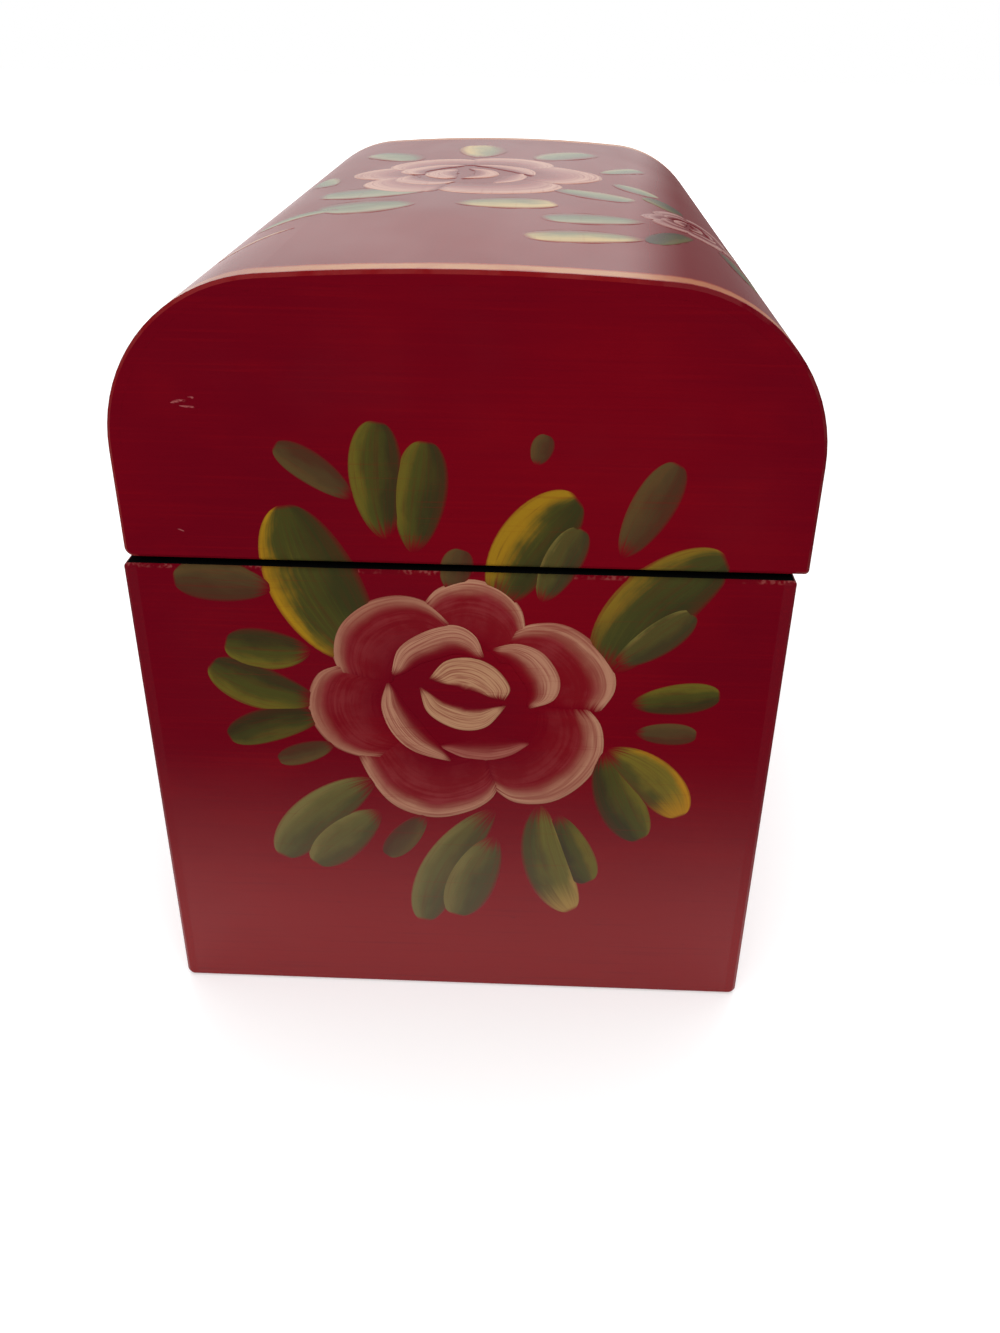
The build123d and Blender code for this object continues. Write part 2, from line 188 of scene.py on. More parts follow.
class Graph:
    """The node tree of a material or of the world, with every node made by one
    method."""

    def __init__(self, owner: Material | bpy.types.World) -> None:
        """Starts the owner's nodes anew.

        Args:
            owner: The material or the world.
        """
        self.owner = owner
        owner.use_nodes = True
        self.tree = owner.node_tree
        self.tree.nodes.clear()

    @classmethod
    def of_material(cls, name: str) -> "Graph":
        """The empty graph of a new material of that name."""
        return cls(bpy.data.materials.new(name))

    @cached_property
    def place(self) -> Socket:
        """The place on the piece, in metres."""
        return self.node("ShaderNodeTexCoord", {}, {}).outputs["Object"]

    @cached_property
    def facing(self) -> Socket:
        """The way that the surface faces, in the piece's own axes."""
        return self.node("ShaderNodeTexCoord", {}, {}).outputs["Normal"]

    def node(self, kind: str, settings: dict, inputs: dict) -> bpy.types.Node:
        """Adds a node.

        Args:
            kind: The node's type.
            settings: Properties of the node, which are set first.
            inputs: Values or links by socket name or number.

        Returns:
            The node.
        """
        made = self.tree.nodes.new(kind)
        for key, value in settings.items():
            setattr(made, key, value)
        for key, value in inputs.items():
            socket = value.socket if isinstance(value, Signal) else value
            if isinstance(socket, Socket):
                self.tree.links.new(socket, made.inputs[key])
            else:
                made.inputs[key].default_value = socket
        return made

    def value(self, kind: str, settings: dict, inputs: dict) -> Signal:
        """Adds a node and returns its first output as a signal."""
        return Signal(self, self.node(kind, settings, inputs).outputs[0])

    def parts(self, vector: Socket, unit: float = 1.0) -> list[Signal]:
        """The three parts of a vector, each divided by unit."""
        split = self.node("ShaderNodeSeparateXYZ", {}, {0: vector})
        return [Signal(self, out) * (1.0 / unit) for out in split.outputs]

    def millimetres(self) -> list[Signal]:
        """The place on the piece along X, Y and Z, in millimetres."""
        return self.parts(self.place, METRE)

    def joined(self, x: Signal, y: Signal, z: Signal) -> Socket:
        """A vector of three signals."""
        return self.node("ShaderNodeCombineXYZ", {}, {0: x, 1: y, 2: z}).outputs[0]

    def noise(
        self,
        scale: float,
        stretch: Sequence[float] = (1.0, 1.0, 1.0),
        detail: float = 3.0,
        vector: Socket | None = None,
    ) -> Signal:
        """Soft noise about 0.5.

        Args:
            scale: Patches per unit.
            stretch: Factors on the three parts of the vector.
            detail: Octaves of finer noise.
            vector: Where it is read, or None for the object's own place.

        Returns:
            The noise.
        """
        start = self.place if vector is None else vector
        settings = {"operation": "MULTIPLY"}
        scaled = self.node("ShaderNodeVectorMath", settings, {0: start, 1: stretch})
        inputs = {"Vector": scaled.outputs[0], "Scale": scale, "Detail": detail}
        return self.value("ShaderNodeTexNoise", {"noise_dimensions": "3D"}, inputs)

    def mix(
        self,
        share: Signal | float,
        first: Colour | Socket,
        second: Colour | Socket,
    ) -> Socket:
        """A mixed colour.

        Args:
            share: How much of the second colour there is, from 0 to 1.
            first: The colour at share 0.
            second: The colour at share 1.

        Returns:
            The colour.
        """
        ends = [(*c, 1.0) if isinstance(c, tuple) else c for c in (first, second)]
        settings = {"data_type": "RGBA", "clamp_factor": True}
        made = self.node("ShaderNodeMix", settings, {0: share, 6: ends[0], 7: ends[1]})
        return made.outputs[2]

    def bump(self, height: Signal, depth: float) -> Socket:
        """A normal from a height that goes from 0 to 1 over that many millimetres."""
        inputs = {"Height": height, "Strength": 1.0, "Distance": depth * METRE}
        return self.node("ShaderNodeBump", {}, inputs).outputs[0]

    def seen(self) -> Signal:
        """Whether a ray comes from the camera, a mirror or clear glass.

        Returns:
            1 where it does, else 0.
        """
        path = self.node("ShaderNodeLightPath", {}, {}).outputs
        camera, glossy, clear = (
            Signal(self, path[name])
            for name in ("Is Camera Ray", "Is Glossy Ray", "Is Transmission Ray")
        )
        return camera.most(glossy).most(clear)

    def surface(self, **sockets: object) -> Material:
        """Closes the graph with a Principled shader.

        Args:
            sockets: Values or links by socket name, with _ for a space.

        Returns:
            The material.
        """
        named = {key.replace("_", " "): value for key, value in sockets.items()}
        shader = self.node("ShaderNodeBsdfPrincipled", {}, named)
        self.node("ShaderNodeOutputMaterial", {}, {"Surface": shader.outputs[0]})
        return self.owner


# Finishes

class Grain(Enum):
    """Which way the brush lines of the lacquer run."""

    ACROSS = (30.0, 30.0, 1500.0)
    ALONG = (24.0, 1100.0, 1100.0)


@dataclass(frozen=True)
class Lacquer:
    """Red satin lacquer over wood, brushed by hand, rubbed at the arrises."""

    red: Colour = (0.132, 0.0016, 0.0062)
    deep: Colour = (0.1, 0.0014, 0.0066)
    bright: Colour = (0.172, 0.0024, 0.006)
    # low is painted light: a brighter red near the foot that stands in for the floor's
    # bounce
    low: Colour = (0.21, 0.005, 0.006)
    worn: Colour = (0.3, 0.085, 0.075)
    black: Colour = (0.004, 0.004, 0.004)
    grain: Grain = Grain.ACROSS
    coat_low: float = 0.62
    coat_high: float = 0.0
    bloom: float = 0.0
    bloom_tint: Colour = (1.0, 0.78, 0.6)
    bounce_lit_foot: Point = (78.0, 8.0)
    glossy_foot: Point = (84.0, 14.0)
    brush_depth: float = 0.035

    def tone(self, graph: Graph) -> tuple[Socket, Signal]:
        """The lacquer's colour at a place, with painted light towards the foot, and its
        brush lines.

        Args:
            graph: The material's graph.

        Returns:
            The colour, and the brush lines as a height from 0 to 1.
        """
        lines = graph.noise(1.0, self.grain.value, 2.0)
        cloud = graph.noise(9.0, detail=2.0)
        patch = graph.noise(42.0, (1.0, 1.0, 2.2), 3.0)
        fleck = graph.noise(1300.0, (0.3, 0.3, 1.0), 1.0)
        # painted light: the lacquer turns to the brighter low red towards the foot,
        # where the floor's bounce falls
        foot = graph.millimetres()[2].rise(*self.bounce_lit_foot)
        colour = graph.mix(cloud.rise(0.38, 0.6) * 0.75 + 0.25, self.deep, self.red)
        colour = graph.mix(patch.rise(0.45, 0.8) * 0.25, colour, self.bright)
        colour = graph.mix(foot * 0.8, colour, self.low)
        colour = graph.mix(lines.rise(0.5, 0.8) * 0.3, colour, self.bright)
        colour = graph.mix(lines.rise(0.5, 0.2) * 0.3, colour, self.deep)
        colour = graph.mix(fleck.rise(0.74, 0.82) * 0.5, colour, self.deep)
        return colour, lines

    def coat(self, graph: Graph) -> Signal:
        """The share of gloss, which is most near the foot.

        Args:
            graph: The material's graph.

        Returns:
            The share, from 0 to 1.
        """
        near_foot = graph.millimetres()[2].rise(*self.glossy_foot)
        share = self.coat_high + (self.coat_low - self.coat_high) * near_foot
        return share + graph.noise(28.0, detail=2.0).rise(0.4, 0.7) * 0.02

    def close(
        self,
        graph: Graph,
        colour: Socket,
        height: Signal,
        dull: Signal | float = 0.0,
    ) -> Material:
        """The finished material.

        Args:
            graph: The material's graph.
            colour: Its colour.
            height: Brush lines from 0 to 1.
            dull: Where the gloss is gone, from 0 to 1.

        Returns:
            The material.
        """
        rough = 0.42 + graph.noise(55.0, detail=3.0).rise(0.35, 0.7) * 0.16 + dull * 0.2
        return graph.surface(
            Base_Color=colour,
            Roughness=rough,
            Specular_IOR_Level=0.0,
            Coat_Weight=self.coat(graph) * (1.0 - dull),
            Coat_Roughness=0.2,
            Coat_IOR=1.5,
            Sheen_Weight=self.bloom,
            Sheen_Roughness=0.3,
            Sheen_Tint=(*self.bloom_tint, 1.0),
            Normal=graph.bump(height, self.brush_depth),
        )


def level_face(z: Signal, upright: Signal, height: float, side: int) -> Signal:
    """A board's level face at a height: its foot where side is 1, its top at -1."""
    near = z.rise(height + 0.3 * side, height + 0.1 * side)
    return upright.rise(0.9, 0.97) * near


def behind_wall(way: Signal, reach: float) -> Signal:
    """1 where a place lies behind the board whose outer face is at reach."""
    inner = reach - BOARD_THICKNESS
    return abs(way).rise(inner + 0.5, inner + 0.1)


@dataclass(frozen=True)
class BoardLacquer(Lacquer):
    """The lacquer of the base's and lid's boards, with black rims and inside."""

    def build(self, name: str) -> Material:
        """Makes the material.

        Args:
            name: The material's name.

        Returns:
            The material.
        """
        graph = Graph.of_material(name)
        colour, lines = self.tone(graph)
        x, y, z = graph.millimetres()
        nx, ny, nz = (abs(n) for n in graph.parts(graph.facing))
        ragged = graph.noise(260.0, detail=4.0)
        flat = nx.most(ny).most(nz)
        arris = flat.rise(0.97, 0.86) * ragged.rise(0.42, 0.6)
        rim_wear = z.rise(RIM_TOP - 0.9, RIM_TOP - 0.5) * z.rise(SEAM + 0.1, SEAM)
        specks = graph.noise(900.0, detail=3.0).rise(0.45, 0.62)
        rim_wear = rim_wear * flat.rise(0.995, 0.9) * ragged.rise(0.38, 0.55) * specks
        colour = graph.mix(arris * 0.2, colour, self.bright)
        colour = graph.mix(rim_wear * 0.45, colour, self.worn)
        rims = level_face(z, nz, RIM_TOP, -1) * level_face(z, nz, LID_RIM, 1)
        foot = level_face(z, nz, 0.0, 1)
        within = behind_wall(x, HALF_LENGTH) * behind_wall(y, HALF_DEPTH)
        black = rims.most(foot).most(within)
        colour = graph.mix(black, colour, self.black)
        return self.close(graph, colour, lines, black)


@dataclass(frozen=True)
class SkinLacquer(Lacquer):
    """The lacquer of the lid's bent skin, with a painted stripe at each end."""

    red: Colour = (0.165, 0.0038, 0.0054)
    deep: Colour = (0.134, 0.003, 0.0056)
    bright: Colour = (0.2, 0.005, 0.0054)
    grain: Grain = Grain.ALONG
    # painted shade: a deeper red down the front shoulder, which stands in for the shade
    # there
    painted_shade: Colour = (0.1, 0.0015, 0.0066)
    ochre: Colour = (0.44, 0.2, 0.085)
    orange: Colour = (0.33, 0.05, 0.02)
    bloom: float = 0.05
    stripe_from: float = 0.9
    stripe_to: float = 6.6

    def tone(self, graph: Graph) -> tuple[Socket, Signal]:
        """The lacquer's colour, with painted shade down the front shoulder, and its
        brush lines.
        """
        colour, lines = super().tone(graph)
        return graph.mix(self.front(graph) * 0.85, colour, self.painted_shade), lines

    def coat(self, graph: Graph) -> Signal:
        """The share of gloss: full on the crown, rubbed dull at the front.

        Args:
            graph: The material's graph.

        Returns:
            The share, from 0 to 1.
        """
        haze = graph.noise(30.0, (0.5, 1.0, 1.0), 2.0).rise(0.35, 0.7)
        outside = abs(graph.parts(graph.facing)[0]).rise(0.8, 0.3)
        return (0.6 + haze * 0.1) * (1.0 - self.front(graph) * 0.8) * outside

    def front(self, graph: Graph) -> Signal:
        """How far a place is down the front shoulder, where shade is painted into the
        colour and the stripe, and the gloss is less.
        """
        x, y, _ = graph.millimetres()
        return (y + x * 0.08).rise(-41.0, -57.0)

    def build(self, name: str) -> Material:
        """Makes the material.

        Args:
            name: The material's name.

        Returns:
            The material.
        """
        graph = Graph.of_material(name)
        colour, lines = self.tone(graph)
        end_colour, _ = Lacquer().tone(graph)
        x, y, z = graph.millimetres()
        facing = [abs(n) for n in graph.parts(graph.facing)]
        ragged = graph.noise(150.0, (1.0, 1.0, 1.0), 4.0)
        fine = graph.noise(700.0, (0.3, 1.0, 1.0), 2.0)
        inset = HALF_LENGTH - abs(x) + (ragged - 0.5) * 1.6 + (fine - 0.5) * 0.7
        outside = facing[0].rise(0.6, 0.4)
        # rubbed is painted shade down the front shoulder, where the stripe and its
        # border grow fainter, and it also makes them fainter towards the back
        rubbed = 1.0 - self.front(graph).most(y.rise(16.0, 50.0)) * 0.5
        first, last = self.stripe_from, self.stripe_to
        border = inset.rise(first - 0.5, first) * inset.rise(last + 1.1, last + 0.2)
        stripe = inset.rise(first + 0.4, first + 1.1)
        stripe = stripe * inset.rise(last + 0.5, last - 1.3)
        cover = (0.72 + ragged.rise(0.3, 0.6) * 0.25) * rubbed
        colour = graph.mix(border * outside * 0.7 * rubbed, colour, self.orange)
        colour = graph.mix(stripe * outside * cover, colour, self.ochre)
        colour = graph.mix(facing[0].rise(0.7, 0.9), colour, end_colour)
        edge = facing[0].rise(0.1, 0.4) * facing[0].rise(0.97, 0.8)
        colour = graph.mix(edge * ragged.rise(0.4, 0.6) * 0.1, colour, self.worn)
        rim_wear = z.rise(LID_RIM + 1.1, LID_RIM + 0.5) * ragged.rise(0.35, 0.6)
        colour = graph.mix(rim_wear * 0.3, colour, self.worn)
        rim = level_face(z, facing[2], LID_RIM, 1)
        return self.close(graph, graph.mix(rim, colour, self.black), lines, rim)


@dataclass(frozen=True)
class LeafPaint:
    """One stroke of a brush loaded with two greens, over the lacquer."""

    light: Colour
    body: Colour
    shade: Colour
    light_from: float = 0.12
    light_to: float = 0.42
    tip: float = 0.0
    cover: float = 0.97
    soft: float = 0.09
    under: Lacquer = field(default_factory=Lacquer)

    def build(self, name: str) -> Material:
        """Makes the material, which reads where it is along and across the
        stroke from the stroke's own map.

        Args:
            name: The material's name.

        Returns:
            The material.
        """
        graph = Graph.of_material(name)
        ground, lines = self.under.tone(graph)
        u, v = stroke_place(graph)
        hairs = stroke_noise(graph, u, v, StrokeNoise.HAIRS)
        blotch = stroke_noise(graph, u, v, StrokeNoise.LEAF_SPOTS)
        shifted = v + (hairs - 0.5) * 0.22 + (blotch - 0.5) * 0.5
        past_root = (u + (blotch - 0.5) * 0.6).rise(0.0, 0.32)
        lit = shifted.rise(self.light_to, self.light_from) * past_root
        colour = graph.mix(lit, self.body, self.light)
        far_side = (v + (blotch - 0.5) * 0.7).rise(0.38, 0.8)
        colour = graph.mix(far_side, colour, self.shade)
        glints = hairs.rise(0.52, 0.8) * v.rise(0.9, 0.2) * 0.14
        colour = graph.mix(glints, colour, self.light)
        colour = graph.mix(hairs.rise(0.45, 0.25) * 0.35, colour, self.shade)
        tip = (u + (hairs - 0.5) * 0.2).rise(0.68, 0.98) * self.tip
        colour = graph.mix(tip, colour, self.light)
        frayed = v + (hairs - 0.5) * 0.05
        edge = frayed.rise(0.0, self.soft) * frayed.rise(1.0, 1.0 - self.soft * 1.4)
        edge = edge * u.rise(1.0, 1.0 - self.soft * 0.4)
        root = (u + (hairs - 0.5) * 0.3).rise(0.0, 0.2)
        thin = 0.88 + hairs.rise(0.3, 0.6) * 0.12
        mask = edge * root * thin * self.cover * (1.0 - v.rise(0.7, 1.0) * 0.15)
        mask = mask * (1.0 - lines.rise(0.6, 0.72) * 0.16)
        painted = graph.mix(mask, ground, colour)
        return self.under.close(graph, painted, paint_height(hairs, lines))


@dataclass(frozen=True)
class PetalPaint:
    """A petal stroke: a pale loaded edge that is drawn out into the red."""

    rim: Colour = (0.35, 0.17, 0.105)
    wash: Colour = (0.19, 0.023, 0.025)
    deep: Colour = (0.15, 0.007, 0.01)
    rim_share: float = 0.08
    rim_fade: float = 0.22
    rim_cover: float = 0.94
    wash_cover: float = 0.78
    wash_from: float = 0.42
    edge_line: float = 0.03
    under: Lacquer = field(default_factory=Lacquer)

    def build(self, name: str) -> Material:
        """Makes the material, which reads where it is along and across the
        stroke from the stroke's own map.

        Args:
            name: The material's name.

        Returns:
            The material.
        """
        graph = Graph.of_material(name)
        ground, lines = self.under.tone(graph)
        u, v = stroke_place(graph)
        hairs = stroke_noise(graph, u, v, StrokeNoise.HAIRS)
        blotch = stroke_noise(graph, u, v, StrokeNoise.PETAL_SPOTS)
        shifted = v + (hairs - 0.5) * 0.14 + (blotch - 0.5) * 0.2
        lip = shifted.rise(self.rim_share + self.rim_fade, self.rim_share)
        lip = lip * v.rise(0.0, self.edge_line)
        ends = (u + (hairs - 0.5) * 0.12).rise(0.0, 0.1)
        ends = ends * (u + (0.5 - hairs) * 0.12).rise(1.0, 0.9)
        wash = (v + (hairs - 0.5) * 0.6).rise(1.0, self.wash_from) * v.rise(0.0, 0.04)
        wash = wash * (0.72 + hairs.rise(0.3, 0.65) * 0.28)
        streak = 0.64 + hairs.rise(0.32, 0.6) * 0.36
        patch = (blotch + (hairs - 0.5) * 0.5).rise(0.35, 0.7)
        colour = graph.mix(patch, self.deep, self.wash)
        colour = graph.mix(lip * streak, colour, self.rim)
        mask = (lip * self.rim_cover * streak).most(wash * self.wash_cover) * ends
        mask = mask * (1.0 - lines.rise(0.6, 0.72) * 0.22)
        painted = graph.mix(mask, ground, colour)
        return self.under.close(graph, painted, paint_height(hairs, lines))


class StrokeNoise(Enum):
    """Noise over a stroke: its patches along the stroke, its patches across it,
    its shift from one stroke to the next, and its octaves."""

    HAIRS = (2.2, 24.0, 7.3, 3.0)
    LEAF_SPOTS = (3.0, 2.6, 3.7, 4.0)
    PETAL_SPOTS = (5.0, 2.4, 5.3, 4.0)


def stroke_place(graph: Graph) -> tuple[Signal, Signal]:
    """Where a point is along and across its brush stroke.

    Args:
        graph: The material's graph.

    Returns:
        The two, each from 0 to 1.
    """
    place = graph.node("ShaderNodeUVMap", {"uv_map": "stroke"}, {}).outputs[0]
    u, v, _ = graph.parts(place)
    return u, v


def stroke_noise(graph: Graph, u: Signal, v: Signal, kind: StrokeNoise) -> Signal:
    """Noise that follows a stroke and differs from stroke to stroke, as the
    lines of a brush's hairs and the spots of unmixed paint do.

    Args:
        graph: The material's graph.
        u: The way along the stroke.
        v: The way across it.
        kind: Which noise.

    Returns:
        The noise, about 0.5.
    """
    along, across, shift, detail = kind.value
    vector = graph.joined(u * along, v * across, seed_of(graph) * shift)
    return graph.noise(1.0, detail=detail, vector=vector)


def seed_of(graph: Graph) -> Signal:
    """The number of the stroke that a point is on."""
    settings = {"attribute_name": "stroke_seed"}
    return Signal(graph, graph.node("ShaderNodeAttribute", settings, {}).outputs["Fac"])


def paint_height(hairs: Signal, lines: Signal) -> Signal:
    """Brush-hair ridges over the lacquer's own lines."""
    return hairs * 0.75 + lines * 0.25


@dataclass(frozen=True)
class Scratch:
    """Pale primer that shows in a scratch."""

    pale: Colour = (0.27, 0.07, 0.07)
    under: Lacquer = field(default_factory=Lacquer)

    def build(self, name: str) -> Material:
        """Makes the material.

        Args:
            name: The material's name.

        Returns:
            The material.
        """
        graph = Graph.of_material(name)
        ground, lines = self.under.tone(graph)
        _, v = stroke_place(graph)
        broken = graph.noise(1100.0, (1.0, 0.5, 1.0), 4.0)
        mask = broken.rise(0.46, 0.58) * v.rise(0.0, 0.4) * v.rise(1.0, 0.6)
        return self.under.close(graph, graph.mix(mask, ground, self.pale), lines, 0.5)


@dataclass(frozen=True)
class BlackBoard:
    """Matt black paint on the floor panel and the lid's rails."""

    base: Colour = (0.012, 0.011, 0.012)
    dusty: Colour = (0.03, 0.027, 0.026)

    def build(self, name: str) -> Material:
        """Makes the material.

        Args:
            name: The material's name.

        Returns:
            The material.
        """
        graph = Graph.of_material(name)
        fibre = graph.noise(1.0, (90.0, 1400.0, 1400.0), 3.0)
        cloud = graph.noise(30.0, detail=4.0)
        dust = cloud.rise(0.4, 0.7) * 0.6 + fibre * 0.2
        colour = graph.mix(dust, self.base, self.dusty)
        rough = 0.62 + fibre * 0.2
        normal = graph.bump(fibre, 0.05)
        return graph.surface(Base_Color=colour, Roughness=rough, Normal=normal)


@dataclass(frozen=True)
class Felt:
    """Short-napped black felt."""

    base: Colour = (0.009, 0.009, 0.011)
    fuzz: Colour = (0.03, 0.028, 0.033)

    def build(self, name: str) -> Material:
        """Makes the material.

        Args:
            name: The material's name.

        Returns:
            The material.
        """
        graph = Graph.of_material(name)
        nap = graph.noise(2600.0, detail=3.0)
        brushed = graph.noise(60.0, (1.0, 1.8, 1.0), 4.0)
        colour = graph.mix(nap.rise(0.4, 0.7) * 0.7, self.base, self.fuzz)
        colour = graph.mix(brushed.rise(0.5, 0.75) * 0.35, colour, self.fuzz)
        rough = 0.88 + brushed * 0.1
        return graph.surface(
            Base_Color=colour,
            Roughness=rough,
            Specular_IOR_Level=0.2,
            Sheen_Weight=0.35,
            Sheen_Roughness=0.5,
            Normal=graph.bump(nap, 0.12),
        )


@dataclass(frozen=True)
class Brass:
    """Thin stamped brass, aged brown in its hollows and rubbed where touched."""

    bright: Colour = (0.62, 0.42, 0.16)
    aged: Colour = (0.2, 0.12, 0.045)

    def build(self, name: str) -> Material:
        """Makes the material.

        Args:
            name: The material's name.

        Returns:
            The material.
        """
        graph = Graph.of_material(name)
        cloud = graph.noise(700.0, detail=6.0)
        lines = graph.noise(1.0, (700.0, 6000.0, 5200.0), 3.0)
        age = 0.12 + cloud.rise(0.45, 0.85) * 0.45 + lines.rise(0.55, 0.8) * 0.15
        colour = graph.mix(age, self.bright, self.aged)
        rough = 0.2 + cloud.rise(0.35, 0.7) * 0.28 + lines * 0.08
        return graph.surface(
            Base_Color=colour,
            Metallic=1.0 - age * 0.25,
            Roughness=rough,
            Normal=graph.bump(lines, 0.006),
        )


@dataclass(frozen=True)
class Rubber:
    """Dull black rubber of the rest pads."""

    base: Colour = (0.014, 0.014, 0.014)
    dusty: Colour = (0.04, 0.038, 0.036)

    def build(self, name: str) -> Material:
        """Makes the material.

        Args:
            name: The material's name.

        Returns:
            The material.
        """
        graph = Graph.of_material(name)
        grain = graph.noise(1500.0, detail=4.0)
        colour = graph.mix(grain.rise(0.45, 0.7) * 0.6, self.base, self.dusty)
        rough = 0.7 + grain * 0.15
        normal = graph.bump(grain, 0.03)
        return graph.surface(Base_Color=colour, Roughness=rough, Normal=normal)


class Palette(Enum):
    """The paints of the flowers and leaves."""

    OLIVE = LeafPaint(
        (0.1, 0.082, 0.012), (0.046, 0.047, 0.01), (0.026, 0.025, 0.009), 0.1, 0.38
    )
    YELLOW = LeafPaint(
        (0.29, 0.16, 0.009), (0.04, 0.043, 0.01), (0.025, 0.029, 0.009), 0.08, 0.32
    )
    GOLDEN = LeafPaint(
        (0.25, 0.138, 0.009), (0.04, 0.043, 0.01), (0.025, 0.029, 0.009), 0.2, 0.5
    )
    MOSS = LeafPaint(
        (0.16, 0.1, 0.012), (0.038, 0.042, 0.011), (0.026, 0.029, 0.01), 0.08, 0.34
    )
    DIM = LeafPaint(
        (0.07, 0.052, 0.018), (0.05, 0.04, 0.016), (0.044, 0.026, 0.012), cover=0.88
    )
    SAGE = LeafPaint(
        (0.13, 0.108, 0.034), (0.082, 0.072, 0.022), (0.05, 0.046, 0.016), 0.1, 0.4
    )
    DARK = LeafPaint((0.066, 0.056, 0.012), (0.034, 0.036, 0.01), (0.024, 0.021, 0.008))
    PALE = LeafPaint(
        (0.13, 0.105, 0.028), (0.056, 0.052, 0.015), (0.034, 0.032, 0.013), 0.04, 0.22
    )
    CREAM_TIP = LeafPaint(
        (0.28, 0.17, 0.045), (0.09, 0.08, 0.016), (0.044, 0.044, 0.014), 0.04, 0.2, 0.9
    )
    GOLD_TIP = LeafPaint(
        (0.32, 0.15, 0.01), (0.12, 0.095, 0.014), (0.05, 0.048, 0.012), 0.04, 0.3, 0.85
    )
    # The TOP_ paints are the end's paints made paler and greyer: partly their own
    # colour, partly painted reflection of the pale surround on the crown
    TOP_GREEN = LeafPaint(
        (0.27, 0.25, 0.14), (0.16, 0.18, 0.1), (0.11, 0.13, 0.075), 0.1, 0.5, soft=0.26
    )
    TOP_YELLOW = LeafPaint(
        (0.52, 0.35, 0.12), (0.3, 0.26, 0.11), (0.16, 0.16, 0.075),
        0.1, 0.6, 0.6, soft=0.24,
    )
    TOP_CREAM = LeafPaint(
        (0.5, 0.33, 0.19), (0.42, 0.26, 0.15), (0.36, 0.19, 0.11), 0.1, 0.6, soft=0.3
    )
    PETAL = PetalPaint()
    PETAL_WIDE = PetalPaint(rim_share=0.13, rim_fade=0.26)
    PETAL_SOFT = PetalPaint(
        rim_cover=0.72, wash_cover=0.66, rim_share=0.06, rim_fade=0.22
    )
    PETAL_INNER = PetalPaint(
        rim_share=0.38, rim_fade=0.55, wash_cover=0.45, edge_line=0.06
    )
    PETAL_DIM = PetalPaint(
        (0.27, 0.09, 0.065), rim_share=0.2, rim_fade=0.7, wash_cover=0.3
    )
    BUD = PetalPaint((0.37, 0.2, 0.11), rim_share=0.72, rim_fade=0.28, wash_cover=0.6)
    # The TOP_ petal paints are likewise paler and greyer: partly their own colour,
    # partly painted reflection on the crown
    TOP_PETAL = PetalPaint(
        (0.5, 0.27, 0.2), (0.36, 0.13, 0.11), (0.3, 0.09, 0.08), 0.2, 0.4
    )
    TOP_INNER = PetalPaint(
        (0.5, 0.27, 0.2), (0.36, 0.13, 0.11), (0.3, 0.09, 0.08), 0.4, 0.5
    )
    SIDE_PETAL = PetalPaint(
        (0.34, 0.18, 0.16), (0.16, 0.03, 0.035), (0.11, 0.008, 0.012), 0.3, 0.4
    )
    SCRATCH = Scratch()


# Finishes of the solids

class Finish(Enum):
    """What each carried-over node is finished with."""

    END_BOARD = BoardLacquer()
    LONG_BOARD = BoardLacquer(grain=Grain.ALONG, coat_low=0.5, coat_high=0.05)
    SKIN = SkinLacquer()
    BLACK = BlackBoard()
    FELT = Felt()
    BRASS = Brass()
    RUBBER = Rubber()


class FinishStore:
    """Finished materials, each made when it is first asked for."""

    def __init__(self) -> None:
        """Starts with none."""
        self.made: dict[Finish, Material] = {}

    def get(self, finish: Finish) -> Material:
        """The material of a finish.

        Args:
            finish: The finish, whose material is made here if it is new.

        Returns:
            The material.
        """
        if finish not in self.made:
            self.made[finish] = finish.value.build(f"finish_{finish.name.lower()}")
        return self.made[finish]


MADE_FINISHES = FinishStore()


# Surfaces that carry paint

Surface = Callable[[np.ndarray, np.ndarray, np.ndarray], np.ndarray]


@dataclass(frozen=True)
class EndPanel:
    """A flat end of the chest: the first place is sideways as seen from that
    end, growing to the left, and the second is up."""

    side: float = -1.0

    def __call__(self, a: np.ndarray, b: np.ndarray, lift: np.ndarray) -> np.ndarray:
        """The point at (a, b), lifted off the panel."""
        x = self.side * (HALF_LENGTH + lift)
        return np.stack([x, -self.side * a, b], axis=-1)


@dataclass(frozen=True)
class LidSkin:
    """The lid's outer surface: the first place is the distance over the dome
    from its middle, growing to the back, and the second is along X."""

    def __call__(self, a: np.ndarray, b: np.ndarray, lift: np.ndarray) -> np.ndarray:
        """The point at (a, b), lifted along the normal. The section is a slow
        crown arc, a round shoulder tangent to it and an upright side, so the
        angle of the normal is the arc length over the radius in each arc.

        Args:
            a: Distance over the dome from its middle, growing to the back.
            b: Distance along X.
            lift: Distance off the surface.

        Returns:
            The points, with X, Y and Z last.
        """
        half_depth = (LID_BACK - LID_FRONT) / 2
        middle = (LID_BACK + LID_FRONT) / 2
        inner_y = half_depth - SHOULDER_RADIUS
        reach = CROWN_RADIUS - SHOULDER_RADIUS
        spring = CROWN - CROWN_RADIUS + math.sqrt(reach**2 - inner_y**2)
        sweep = math.atan2(spring - (CROWN - CROWN_RADIUS), inner_y)
        crown_arc = CROWN_RADIUS * (math.pi / 2 - sweep)
        shoulder_arc = SHOULDER_RADIUS * sweep
        way, side = np.abs(a), np.where(a < 0, -1.0, 1.0)
        on_crown = way < crown_arc
        turn = np.clip((way - crown_arc) / SHOULDER_RADIUS, 0.0, sweep)
        angle = np.where(on_crown, math.pi / 2 - way / CROWN_RADIUS, sweep - turn)
        drop = np.maximum(way - crown_arc - shoulder_arc, 0.0)
        radius = np.where(on_crown, CROWN_RADIUS, SHOULDER_RADIUS) + lift
        centre_y = np.where(on_crown, 0.0, inner_y)
        centre_z = np.where(on_crown, CROWN - CROWN_RADIUS, spring)
        y = middle + side * (centre_y + radius * np.cos(angle))
        z = centre_z + radius * np.sin(angle) - drop
        return np.stack([b, y, z], axis=-1)


# Brush strokes

